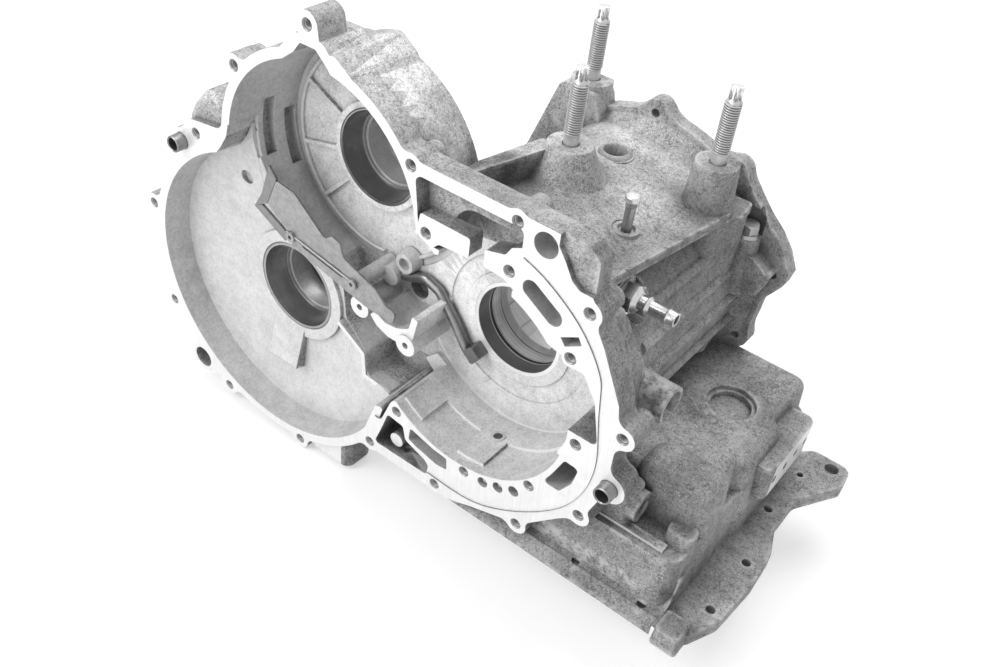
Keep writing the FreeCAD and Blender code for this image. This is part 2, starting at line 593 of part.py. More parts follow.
def idler_floor_ribs():
    """Radial ribs, the bearing boss and the lip around the floor of the transfer gear pocket."""
    floor = IDLER_POCKET_DEPTH + 2
    lip = ring_y(IDLER, IDLER_POCKET_RADIUS - 7.5, IDLER_POCKET_RADIUS - 10.5, IDLER_POCKET_DEPTH - 3.0, floor)
    edges = [e for e in lip.Edges if abs(e.BoundBox.YMax - IDLER_POCKET_DEPTH + 3.0) < 1e-4]
    lip = lip.makeChamfer(1.0, [e for e in edges if e.Curve.TypeId == "Part::GeomCircle"])
    lip = lip.cut(slot_y((IDLER[0] + 34, IDLER[1] - 60), (IDLER[0] + 10, IDLER[1] - 88), 9.0, 50, floor + 1))
    pieces = [cylinder_y(IDLER, IDLER_HUB_RADIUS - 2, IDLER_HUB_FRONT, floor), lip]
    for turn in IDLER_RIBS:
        rib = box(IDLER_HUB_RADIUS - 4, IDLER_POCKET_RADIUS - 8, IDLER_POCKET_DEPTH - 3.0, floor, -1.6, 1.6)
        rib.rotate(V(0, 0, 0), Y_AXIS, -turn)
        rib.translate(point(IDLER[0], IDLER[1]))
        pieces.append(rib)
    return pieces


def chamber_posts():
    """Screw posts, the crescent wall between them and the small pads on the main pocket wall."""
    deep = MAIN_POCKET_DEPTH + 2
    seat = BAFFLE_Y + BAFFLE_THICKNESS + SEAT_GAP
    left, right = POSTS
    pieces = [
        cylinder_y(left, 8.8, seat, deep),
        cylinder_y(right, 8.8, 20, deep),
        plate_y([
            (-103, -22, 1.5), (-96, -29, 3), (-85, -33, 4), (-74, -33, 0), (-62, -24, 0), (-58, -4, 1),
            (-63, -2, 1), (-66, -15, 5), (-77, -20.5, 4), (-88, -22, 4), (-98, -17, 1.5),
        ], seat, deep),
        plate_y([(-88, -116, 0), (-77, -83, 2), (-69, -80, 2), (-79, -116, 0)], 1.5, deep),
        plate_y([(-75.6, -68.7, 1.5), (-64.8, -58.2, 1.5), (-48.9, -66.8, 1.5), (-65.1, -77.9, 1.5)],
                MAIN_POCKET_DEPTH - 4, deep),
        cone_y(LOW_BOSS, 8.0, 10.0, MAIN_POCKET_DEPTH - 8, deep),
    ]
    for start, end in ((-130.0, -116.0), (-92.0, -75.5)):
        band = ring_y(MAIN, MAIN_POCKET_RADIUS + 1, MAIN_POCKET_RADIUS - POCKET_STEP, 8, POCKET_STEP_DEPTH + 1)
        pieces.append(band.common(sector_y(MAIN, 140, start, end, 7, POCKET_STEP_DEPTH + 2)))
    return pieces


def oil_windows():
    """Ports, windows and recesses in the mating face, to be cut."""
    cuts = [
        slot_y((43, 92), (61, 81), 6.2, -1, 40),
        plate_y([(87, -22, 3), (98, -23, 3), (95, -38, 3), (87, -51, 3), (74, -51, 3), (80, -39, 3)], -1, 36),
        plate_y([(-41, -81, 2), (-18, -87, 2), (-6, -88, 2), (-5, -99, 2), (-15, -100, 2), (-33, -96, 2),
                 (-42, -93, 2)], -1, 28),
        plate_y([(-63, -82, 3), (-48, -84, 3), (-45, -96, 4), (-26, -103, 4), (-22, -107, 3), (-23, -117, 3),
                 (-75, -118, 3), (-69, -101, 3)], -1, 26).cut(cylinder_y((-57.5, -108.5), 6.0, 5, 30)),
        plate_y([(75, 108, 2), (69, 112, 5), (63, 122, 6), (57, 130, 3), (57, 145, 0), (90, 145, 0),
                 (90, 108, 0)], -1, 4),
        cylinder_y(BLIND_HOLE, BLIND_HOLE_RADIUS, -1, 16),
        cylinder_y(large_hole(), LARGE_HOLE_RADIUS, -1, FLANGE_THICKNESS + 12),
        plate_y([(80, 77, 0), (83, 72, 0), (72, 65, 0), (68, 70, 0)], -1, 10),
    ]
    cuts += [cylinder_y(place, PORT_RADIUS, -1, 22) for place in PORTS]
    return cuts


def screw_holes():
    """Tapped holes in the face, with their countersunk mouths."""
    cuts = []
    for place in flange_screws() + INNER_SCREWS:
        cuts.append(cylinder_y(place, SCREW_HOLE_RADIUS, -1, SCREW_HOLE_DEPTH))
        cuts.append(cone_y(place, SCREW_HOLE_MOUTH + 1, SCREW_HOLE_RADIUS, -1, 1))
    for place in REAR_BOLTS:
        cuts.append(cylinder_y(place, SCREW_HOLE_RADIUS, CASE_LENGTH - 25, CASE_LENGTH + 1))
    for place in POSTS:
        cuts.append(cylinder_y(place, 2.6, 10, 38))
    for place in BAFFLE_SCREWS:
        cuts.append(cylinder_y(place, 2.5 + PRESS_CLEARANCE, 10, BAFFLE_Y + 13))
    for place in dowel_places():
        cuts.append(cylinder_y(place, DOWEL_RADIUS + DOWEL_STEP + PRESS_CLEARANCE, -1, DOWEL_SUNK))
        cuts.append(cylinder_y(place, DOWEL_BORE, 0, DOWEL_SUNK + 6))
    return cuts


def bearing_bores():
    """Stepped bores on the three shaft axes, to be cut."""
    diff_seat = DIFF_HUB_FRONT + DIFF_CUP_LENGTH + SHIM_THICKNESS + 2 * SEAT_GAP
    idler_seat = IDLER_HUB_FRONT + IDLER_CUP_LENGTH + SHIM_THICKNESS + 2 * SEAT_GAP
    return [
        cylinder_y(DIFF, DIFF_CUP_RADIUS + PRESS_CLEARANCE, 0, diff_seat),
        cylinder_y(DIFF, 28.0, 0, DIFF_HUB_BACK + 1),
        cylinder_y(DIFF, DIFF_SEAL_RADIUS + PRESS_CLEARANCE, DIFF_HUB_BACK - DIFF_SEAL_WIDTH - SEAT_GAP,
                   DIFF_HUB_BACK + 1),
        cylinder_y(IDLER, IDLER_CUP_RADIUS + PRESS_CLEARANCE, 40, idler_seat),
        cylinder_y(IDLER, 27.0, 40, IDLER_HUB_BACK - 8),
        cylinder_y(IDLER, IDLER_PLUG_RADIUS + PRESS_CLEARANCE, 60, IDLER_HUB_BACK + 1),
        cylinder_y(MAIN, MAIN_SLEEVE_RADIUS + PRESS_CLEARANCE, 40, MAIN_HUB_FRONT + MAIN_SLEEVE_LENGTH + SEAT_GAP),
        cylinder_y(MAIN, RING_RADIUS + SEAT_GAP, ring_front() - SEAT_GAP, ring_front() + RING_THICKNESS + SEAT_GAP),
        cylinder_y(MAIN, MAIN_BORE_RADIUS, 40, MAIN_HUB_BACK + 1),
    ]


def ring_front():
    """Front side of the snap ring, just behind the sleeve."""
    return MAIN_HUB_FRONT + MAIN_SLEEVE_LENGTH + SEAT_GAP


def rear_cavity():
    """Clutch cavity that opens at the rear flange, with its splined wall."""
    cavity = cylinder_y(MAIN, BARREL_BORE - 3, BARREL_FLOOR, CASE_LENGTH + 1)
    pieces = [cavity, cylinder_y(MAIN, BARREL_BORE, CASE_LENGTH - 56, CASE_LENGTH + 1)]
    for turn in range(SPLINE_COUNT):
        groove = box(BARREL_BORE - 10, BARREL_BORE - 0.5, BARREL_FLOOR + 22, CASE_LENGTH - 54, -5, 5)
        groove.rotate(V(0, 0, 0), Y_AXIS, 360.0 * turn / SPLINE_COUNT)
        pieces.append(groove)
    return fused(pieces)


def valve_cavity():
    """Valve body space, open at the pan rail."""
    low = RAIL_Z - 1
    back = CHAMBER_END - 16
    return [
        plate_z([(-62, 16, 10), (160, 16, 10), (163, back, 12), (-62, back, 10)], low, -102),
        plate_z([(102, 58, 8), (160, 58, 8), (162, back, 10), (102, back, 8)], low, -56),
        plate_z([(124, 58, 8), (164, 58, 8), (164, 80, 8), (124, 80, 8)], low, -49),
    ]


def wall_windows():
    """Two arc slots in the left wall of the transfer pocket and the round holes in the floors."""
    cuts = []
    for depth, middle in ((32.5, 0), (52.5, -22)):
        ring = cylinder_y(IDLER, IDLER_POCKET_RADIUS + 4, depth - 2, depth + 8)
        ring = ring.cut(cylinder_y(IDLER, IDLER_POCKET_RADIUS - 6, depth - 3, depth + 9))
        sector = plate_y([(IDLER[0], IDLER[1], 0), (IDLER[0] - 120, IDLER[1] + middle - 33, 0),
                          (IDLER[0] - 120, IDLER[1] + middle + 33, 0)], depth - 3, depth + 9)
        cuts.append(ring.common(sector))
    cuts.append(cylinder_y((-235.1, 32.5), 5.8, 0, 30.5))
    cuts.append(cylinder_y((-89.0, -11.5), 8.6, MAIN_POCKET_DEPTH - 4, CHAMBER_BACK - 3))
    cuts.append(cylinder_y(LOW_BOSS, 4.8, 40, MAIN_POCKET_DEPTH - 2))
    return cuts


def outside_cuts():
    """Rail holes, ear holes, the round recess and the openings on the right side."""
    low, top = RAIL_Z - 1, RAIL_Z + RAIL_THICKNESS + 1
    cuts = [cylinder_z(x, y, RAIL_HOLE_RADIUS, low, top) for x, y in RAIL_HOLES]
    cuts += [
        cylinder_z(206.5, CHAMBER_END + 0.5, 5.5, low, top),
        cylinder_z(190.0, CHAMBER_END - 23, 2.6, low, top),
        cylinder_z(134, 153, 18.5, CHAMBER_TOP - 3, CHAMBER_TOP + 10),
        cylinder_z(134, 153, 15.5, CHAMBER_TOP - 7, CHAMBER_TOP + 10),
        cylinder_x(52, 17, 10.5, 92, 140),
        box(92, 140, 38, 66, -4, 8),
        cylinder_x(33, -58, 7.0, 118, 150),
        cylinder_x(FITTING_Y, FITTING_Z, FITTING_THREAD_RADIUS + PRESS_CLEARANCE, FITTING_FACE_X - 16,
                   FITTING_FACE_X + 5),
        cylinder_x(FITTING_Y, FITTING_Z, 14.0, FITTING_FACE_X, FITTING_FACE_X + 50),
        cylinder_z(VENT[0], VENT[1], 9.5, VENT_BOSS_TOP, VENT_BOSS_TOP + 10),
        cylinder_z(BRACKET_BOLT[0], BRACKET_BOLT[1], 10.6, BRACKET_BOLT_SEAT, BRACKET_BOLT_SEAT + 20),
        cylinder_z(VENT[0], VENT[1], VENT_RADIUS + PRESS_CLEARANCE, VENT_BOSS_TOP - VENT_SUNK - SEAT_GAP,
                   VENT_BOSS_TOP + 5),
        cylinder_z(*RING_BOSS, 9.5, RING_BOSS_TOP - 8, RING_BOSS_TOP + 10),
        cylinder_z(*BRACKET_BOLT, BOLT_RADIUS + PRESS_CLEARANCE, BRACKET_BOLT_SEAT - BOLT_LENGTH - 1, 70),
    ]
    for y in (134, 152, 170, 186):
        cuts.append(cylinder_x(y, -73, 3.2, 176, 190))
    for x, y in STUDS:
        cuts.append(cylinder_z(x, y, STUD_RADIUS + PRESS_CLEARANCE, STUD_SEAT_Z - STUD_SUNK - SEAT_GAP,
                               STUD_SEAT_Z + 5))
    return cuts


def transaxle_case():
    """The whole casting: outside, hollows, then what stands inside them."""
    outside = [flange_blank()] + flange_bosses() + differential_back() + idler_bell() + main_barrel()
    outside += gear_chamber() + top_shelf() + stud_towers() + pan_rail() + valve_chamber()
    outside += side_details() + lower_foot()
    body = outside[0].fuse(outside[1:])
    body = body.cut([gear_pockets(), rear_cavity()] + valve_cavity())
    inside = face_lands() + dish_hub_and_gusset() + idler_floor_ribs() + chamber_posts()
    inside += floor_screw_bosses() + [cylinder_y(MAIN, MAIN_HUB_RADIUS, MAIN_HUB_FRONT, MAIN_HUB_BACK)]
    body = body.fuse(inside)
    cuts = bearing_bores() + oil_windows() + screw_holes() + wall_windows() + outside_cuts()
    return body.cut(cuts + [pipe_solid(PIPE_RADIUS + PRESS_CLEARANCE)])


# Loose pieces

def ring_y(place, outer, inner, y0, y1):
    """Plain ring along Y."""
    return cylinder_y(place, outer, y0, y1).cut(cylinder_y(place, inner, y0 - 1, y1 + 1))


def cup_y(place, outer, inner, length, y0):
    """Outer race of a taper bearing: the track narrows towards the back."""
    ring = cylinder_y(place, outer, y0, y0 + length)
    track = cone_y(place, inner + 2.2, inner - 1.6, y0 - 0.01, y0 + length + 0.01)
    edges = [e for e in ring.Edges if e.Curve.TypeId == "Part::GeomCircle"]
    return ring.makeChamfer(0.8, edges).cut(track)


def hexagon_z(x, y, across, z0, z1):
    """Hexagonal bar along Z."""
    corner = across / math.sqrt(3.0)
    corners = [(x + corner * math.cos(math.pi / 3 * i), y + corner * math.sin(math.pi / 3 * i), 0) for i in range(6)]
    return plate_z(corners, z0, z1)


def mount_studs():
    """Threaded studs in the towers, each with a relieved neck and a six-lobe drive end."""
    studs = []
    for x, y in STUDS:
        base = STUD_SEAT_Z - STUD_SUNK
        drive = STUD_SEAT_Z + STUD_PROUD - 9.0
        neck = STUD_SEAT_Z + 7.0
        lobes = [cylinder_z(x + 3.2 * math.cos(a), y + 3.2 * math.sin(a), 1.5, drive - 1, drive + 9.0)
                 for a in [math.pi / 3 * i for i in range(6)]]
        parts = [
            cylinder_z(x, y, STUD_RADIUS, base, STUD_SEAT_Z - 1.0),
            cylinder_z(x, y, STUD_RADIUS - 0.6, STUD_SEAT_Z - 1.0, neck),
            cone_z(x, y, STUD_RADIUS - 0.6, STUD_RADIUS, neck, neck + 0.8),
            cylinder_z(x, y, STUD_RADIUS, neck + 0.8, drive - 2.0),
            cone_z(x, y, STUD_RADIUS, STUD_RADIUS - 1.8, drive - 2.0, drive),
            cylinder_z(x, y, 3.6, drive - 1, drive + 8.6),
        ]
        studs.append(fused(parts + lobes))
    return Part.makeCompound(studs)


def dowel_sleeves():
    """Hollow sleeves that line up the mating cover."""
    sleeves = []
    for place in dowel_places():
        proud = ring_y(place, DOWEL_RADIUS, DOWEL_BORE + 0.3, -DOWEL_PROUD, 1.0)
        front = [e for e in proud.Edges if e.Curve.TypeId == "Part::GeomCircle" and e.BoundBox.YMax < -DOWEL_PROUD + 0.1]
        sunk = ring_y(place, DOWEL_RADIUS + DOWEL_STEP, DOWEL_BORE + 0.3, 0, DOWEL_SUNK - SEAT_GAP)
        sleeves.append(fused([proud.makeChamfer(0.7, front), sunk]))
    return Part.makeCompound(sleeves)


def cooler_hose_fitting():
    """Hex nipple with a beaded stub for a hose, bored right through."""
    y, z, face = FITTING_Y, FITTING_Z, FITTING_FACE_X + FITTING_WASHER + 2 * SEAT_GAP
    hexagon = hexagon_z(0, 0, FITTING_HEX, 0, 8.5)
    hexagon.rotate(V(0, 0, 0), Y_AXIS, 90)
    hexagon.translate(V(face, y, z))
    parts = [
        cylinder_x(y, z, FITTING_THREAD_RADIUS, face - 9.0, face),
        hexagon,
        Part.makeCone(9.3, 6.4, 3.0, V(face + 8.5, y, z), X_AXIS),
        cylinder_x(y, z, 5.4, face + 11.0, face + 19.0),
        Part.makeCone(5.4, 6.6, 1.2, V(face + 16.0, y, z), X_AXIS),
        Part.makeCone(6.6, 5.0, 2.4, V(face + 17.2, y, z), X_AXIS),
        cylinder_x(y, z, 5.0, face + 18.0, face + 38.0),
        Part.makeCone(5.0, 5.5, 1.0, V(face + 31.0, y, z), X_AXIS),
        Part.makeCone(5.5, 5.0, 1.0, V(face + 32.0, y, z), X_AXIS),
    ]
    return fused(parts).cut(cylinder_x(y, z, 3.4, face - 20.0, face + 40.0))


def fitting_seal_washer():
    """Flat washer under the hose fitting."""
    start = FITTING_FACE_X + SEAT_GAP
    disc = cylinder_x(FITTING_Y, FITTING_Z, 11.5, start, start + FITTING_WASHER)
    return disc.cut(cylinder_x(FITTING_Y, FITTING_Z, FITTING_THREAD_RADIUS + 0.3, start - 1, start + 5))


def vent_pipe():
    """Straight breather tube with a turned-out collar above its boss."""
    x, y = VENT
    foot = VENT_BOSS_TOP - VENT_SUNK
    collar = VENT_BOSS_TOP + SEAT_GAP
    tube = fused([cylinder_z(x, y, VENT_RADIUS, foot, VENT_TOP - 4), cylinder_z(x, y, VENT_RADIUS + 1.4, collar, collar + 1.6)])
    return tube.cut(cylinder_z(x, y, VENT_RADIUS - 1.2, foot - 1, VENT_TOP))


def vent_cap():
    """Domed cap over the breather tube, open underneath."""
    x, y = VENT
    cap = cylinder_z(x, y, 5.2, VENT_TOP - 9, VENT_TOP)
    top = [e for e in cap.Edges if e.Curve.TypeId == "Part::GeomCircle" and e.BoundBox.ZMin > VENT_TOP - 0.1]
    cap = cap.makeFillet(2.0, top)
    return cap.cut(cylinder_z(x, y, VENT_RADIUS + PRESS_CLEARANCE, VENT_TOP - 10, VENT_TOP - 4 + SEAT_GAP))


def bracket_bolt():
    """Hex flange bolt in the boss beside the rear flange."""
    x, y = BRACKET_BOLT
    seat = BRACKET_BOLT_SEAT + SEAT_GAP
    parts = [
        cylinder_z(x, y, BOLT_RADIUS, seat - BOLT_LENGTH, seat + 1.0),
        cone_z(x, y, 9.2, 7.6, seat, seat + 2.2),
        hexagon_z(x, y, 13.0, seat + 1.0, seat + 9.5).common(cone_z(x, y, 14.0, 6.6, seat, seat + 9.5 + 0.01)),
    ]
    return fused(parts)


def differential_oil_seal():
    """Drive-shaft seal: a steel-backed ring with a soft lip."""
    back = DIFF_HUB_BACK
    front = back - DIFF_SEAL_WIDTH
    body = ring_y(DIFF, DIFF_SEAL_RADIUS, DIFF_SEAL_INNER + 6.0, front, back)
    web = ring_y(DIFF, DIFF_SEAL_RADIUS - 1, DIFF_SEAL_INNER + 2.0, back - 3.0, back - 1.0)
    lip = cone_y(DIFF, DIFF_SEAL_INNER + 1.0, DIFF_SEAL_INNER + 3.5, front + 1.0, back - 1.0)
    lip = lip.cut(cone_y(DIFF, DIFF_SEAL_INNER - 0.6, DIFF_SEAL_INNER + 1.0, front + 0.9, back))
    return fused([body, web, lip])


def idler_bore_plug():
    """Plug that closes the transfer shaft bore, with a small hex on its inner side."""
    back = IDLER_HUB_BACK
    front = back - IDLER_PLUG_LENGTH
    head = hexagon_z(0, 0, 9.0, -6.0, 1.0)
    head.rotate(V(0, 0, 0), X_AXIS, -90)
    head.translate(point(IDLER[0] + 6, IDLER[1] - 4, front))
    return fused([cylinder_y(IDLER, IDLER_PLUG_RADIUS, front, back), head])


def main_bore_snap_ring():
    """Open ring behind the main bore sleeve."""
    start = ring_front()
    ring = ring_y(MAIN, RING_RADIUS, MAIN_SLEEVE_INNER + 0.6, start, start + RING_THICKNESS)
    return ring.cut(box(20, 60, start - 1, start + 5, -6, 6))


def baffle_line():
    """Outline of the stamped baffle."""
    return [
        (-197.1, 49.5, 5), (-178, 47.0, 8), (-147.1, 22.4, 5), (-140.8, 28.7, 3), (-132.9, 26.6, 3),
        (-129, 15.5, 4), (-96.7, 3.5, 6), (-88, -5.0, 4), (-77.8, -7.5, 2), (-79.9, -17.0, 2), (-104, -16.4, 6),
        (-120.8, -13.2, 5), (-181, 0.0, 6), (-188, 12.0, 8), (-210.3, 29.2, 5),
    ]


def oil_baffle():
    """Stamped plate with a turned-up rim, a pressed slot and two screw holes."""
    back = BAFFLE_Y + BAFFLE_THICKNESS
    plate = plate_y(baffle_line(), BAFFLE_Y, back)
    rim = plate_y([(-142, 28.0, 0), (-132.9, 26.6, 0), (-129, 15.5, 0), (-112, 9.2, 0), (-111.4, 10.6, 0),
                   (-127.8, 16.6, 0), (-131.9, 28.2, 0), (-142, 29.4, 0)], BAFFLE_Y - 7, BAFFLE_Y + 1)
    rim = rim.common(plate_y(baffle_line(), BAFFLE_Y - 8, BAFFLE_Y + 1))
    start, end = BAFFLE_SCREWS
    channel = ((start[0] + 13, start[1] - 2.0), (end[0] - 12, end[1] + 2.0))
    plate = fused([plate, slot_y(*channel, 3.6, BAFFLE_Y, back + 1.2)])
    plate = plate.cut(slot_y(*channel, 2.6, BAFFLE_Y - 1, back))
    for place in BAFFLE_SCREWS:
        plate = plate.cut(cylinder_y(place, 2.7, BAFFLE_Y - 1, back + 1))
    return plate


def baffle_screws():
    """Pan-head screws through the baffle into their bosses."""
    screws = []
    for place in BAFFLE_SCREWS:
        head = cylinder_y(place, 4.2, BAFFLE_Y - 2.2 - SEAT_GAP, BAFFLE_Y - SEAT_GAP)
        shank = cylinder_y(place, 2.5, BAFFLE_Y - 1, BAFFLE_Y + 10)
        socket = cylinder_y(place, 1.7, BAFFLE_Y - 3, BAFFLE_Y - 1.0)
        screws.append(head.fuse(shank).removeSplitter().cut(socket))
    return Part.makeCompound(screws)


def pipe_solid(radius):
    """Bent round bar along the pipe's route."""
    route = [point(x, z, PIPE_Y) for x, z in PIPE_ROUTE]
    edges = []
    last = route[0]
    for i in range(1, len(route) - 1):
        before = (route[i - 1] - route[i]).normalize()
        after = (route[i + 1] - route[i]).normalize()
        half = before.getAngle(after) / 2.0
        reach = PIPE_BEND / math.tan(half)
        middle = (before + after).normalize()
        start = route[i] + before * reach
        end = route[i] + after * reach
        centre = route[i] + middle * (PIPE_BEND / math.sin(half))
        edges.append(Part.LineSegment(last, start).toShape())
        edges.append(Part.Arc(start, centre - middle * PIPE_BEND, end).toShape())
        last = end
    edges.append(Part.LineSegment(last, route[-1]).toShape())
    path = Part.Wire(edges)
    heading = (route[1] - route[0]).normalize()
    profile = Part.Wire([Part.Circle(route[0], heading, radius).toShape()])
    return path.makePipeShell([profile], True, True)


def lube_pipe():
    """Bent oil pipe on the floor of the gear chamber."""
    return pipe_solid(PIPE_RADIUS).cut(pipe_solid(PIPE_RADIUS - 1.0))


def clamp_block():
    """Block outline at the end of the pipe."""
    corners = [(-29.4, -26.2, 1.5), (-21.0, -33.3, 1.5), (-27.7, -42.1, 2), (-36.9, -34.3, 2)]
    return plate_y(corners, PIPE_Y - 7, MAIN_POCKET_DEPTH - SEAT_GAP)


def lube_pipe_clamp():
    """Block that holds the end of the pipe on the floor."""
    return clamp_block().cut(pipe_solid(PIPE_RADIUS + PRESS_CLEARANCE))


def gallery_balls():
    """Steel balls driven into two of the oil galleries."""
    return Part.makeCompound([Part.makeSphere(PORT_RADIUS - PRESS_CLEARANCE, point(x, z, 6.0)) for x, z in PORTS[:2]])


def export(name, shape):
    """Write one node's STEP file, moved to the origin at the main bore's front rim."""
    moved = shape.copy()
    moved.translate(V(0, -MAIN_HUB_FRONT, 0))
    moved.exportStep("parts/%s.step" % name)


def nodes():
    """Every node of the model by name."""
    return {
        "transaxle_case": transaxle_case(),
        "mount_studs": mount_studs(),
        "dowel_sleeves": dowel_sleeves(),
        "cooler_hose_fitting": cooler_hose_fitting(),
        "fitting_seal_washer": fitting_seal_washer(),
        "vent_pipe": vent_pipe(),
        "vent_cap": vent_cap(),
        "bracket_bolt": bracket_bolt(),
        "differential_bearing_cup": cup_y(DIFF, DIFF_CUP_RADIUS, DIFF_CUP_INNER, DIFF_CUP_LENGTH, DIFF_HUB_FRONT),
        "differential_preload_shim": ring_y(DIFF, DIFF_CUP_RADIUS, 30.0, shim_front(DIFF_HUB_FRONT, DIFF_CUP_LENGTH),
                                            shim_front(DIFF_HUB_FRONT, DIFF_CUP_LENGTH) + SHIM_THICKNESS),
        "differential_oil_seal": differential_oil_seal(),
        "idler_bearing_cup": cup_y(IDLER, IDLER_CUP_RADIUS, IDLER_CUP_INNER, IDLER_CUP_LENGTH, IDLER_HUB_FRONT),
        "idler_preload_shim": ring_y(IDLER, IDLER_CUP_RADIUS, 29.0, shim_front(IDLER_HUB_FRONT, IDLER_CUP_LENGTH),
                                     shim_front(IDLER_HUB_FRONT, IDLER_CUP_LENGTH) + SHIM_THICKNESS),
        "idler_bore_plug": idler_bore_plug(),
        "main_bore_sleeve": ring_y(MAIN, MAIN_SLEEVE_RADIUS, MAIN_SLEEVE_INNER, MAIN_HUB_FRONT,
                                   MAIN_HUB_FRONT + MAIN_SLEEVE_LENGTH),
        "main_bore_snap_ring": main_bore_snap_ring(),
        "oil_baffle": oil_baffle(),
        "baffle_screws": baffle_screws(),
        "lube_pipe": lube_pipe(),
        "lube_pipe_clamp": lube_pipe_clamp(),
        "gallery_balls": gallery_balls(),
    }


def shim_front(hub_front, cup_length):
    """Front side of the shim behind a bearing cup."""
    return hub_front + cup_length + SEAT_GAP


os.makedirs("parts", exist_ok=True)
for name, shape in nodes().items():
    export(name, shape)
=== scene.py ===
"""Dresses the transaxle main case: cast and cut finishes, threads, small trim and the sealant line."""

import logging
import math
from dataclasses import dataclass, field
from enum import Enum
from typing import Iterable, Sequence

import bmesh
import bpy
from mathutils import Matrix, Vector

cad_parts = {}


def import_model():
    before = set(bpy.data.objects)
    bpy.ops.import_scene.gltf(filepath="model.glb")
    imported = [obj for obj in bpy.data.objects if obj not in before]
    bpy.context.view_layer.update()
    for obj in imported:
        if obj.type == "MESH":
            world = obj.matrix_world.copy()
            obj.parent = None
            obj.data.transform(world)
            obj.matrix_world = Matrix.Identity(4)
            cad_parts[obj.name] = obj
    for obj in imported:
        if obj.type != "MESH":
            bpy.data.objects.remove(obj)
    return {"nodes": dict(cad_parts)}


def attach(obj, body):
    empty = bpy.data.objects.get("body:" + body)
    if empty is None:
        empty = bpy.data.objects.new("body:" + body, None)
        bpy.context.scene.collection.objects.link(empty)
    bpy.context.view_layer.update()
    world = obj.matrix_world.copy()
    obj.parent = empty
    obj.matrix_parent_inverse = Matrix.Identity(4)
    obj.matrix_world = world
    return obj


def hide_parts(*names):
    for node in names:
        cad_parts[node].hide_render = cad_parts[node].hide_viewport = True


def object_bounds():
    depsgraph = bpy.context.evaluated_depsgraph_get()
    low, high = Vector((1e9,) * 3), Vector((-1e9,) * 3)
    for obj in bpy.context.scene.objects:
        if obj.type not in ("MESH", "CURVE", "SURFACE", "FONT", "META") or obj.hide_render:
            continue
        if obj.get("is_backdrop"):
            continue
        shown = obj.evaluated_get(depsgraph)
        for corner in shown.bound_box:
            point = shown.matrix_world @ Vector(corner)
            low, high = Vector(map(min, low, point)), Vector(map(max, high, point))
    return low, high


BMesh = bmesh.types.BMesh
Material = bpy.types.Material
Mesh = bpy.types.Mesh
Socket = bpy.types.NodeSocket

LOG = logging.getLogger("transaxle_case")
MM = 0.001
FACE_Y = -0.060  # the mating face
FLOOR_Z = -0.1816  # just under the lowest point of the case
FLOOR_REACH = 30.0
# The three bores run along Y: x and z of each axis, in metres.
MAIN_AXIS = (0.0, 0.0)
DIFFERENTIAL_AXIS = (-0.1875, -0.0465)
IDLER_AXIS = (-0.1335, 0.0805)
# Edges of a turned piece that bend by more than this many degrees stay sharp.
SHARP_TURNED = 35.0
SHARP_LIP = 50.0
LOBE_STEPS = 72
THREAD_FOOT = 0.92  # width of a ridge's foot, in pitches


class Zone(Enum):
    """Which part of the casting a face belongs to; the value is the material slot."""

    OUTSIDE = 0
    MACHINED = 1
    BORE = 2
    DISH = 3
    POCKET_WALL = 4
    POCKET_FLOOR = 5
    DRUM = 6
    TAPPED = 7
    FLANGE_SIDE = 8


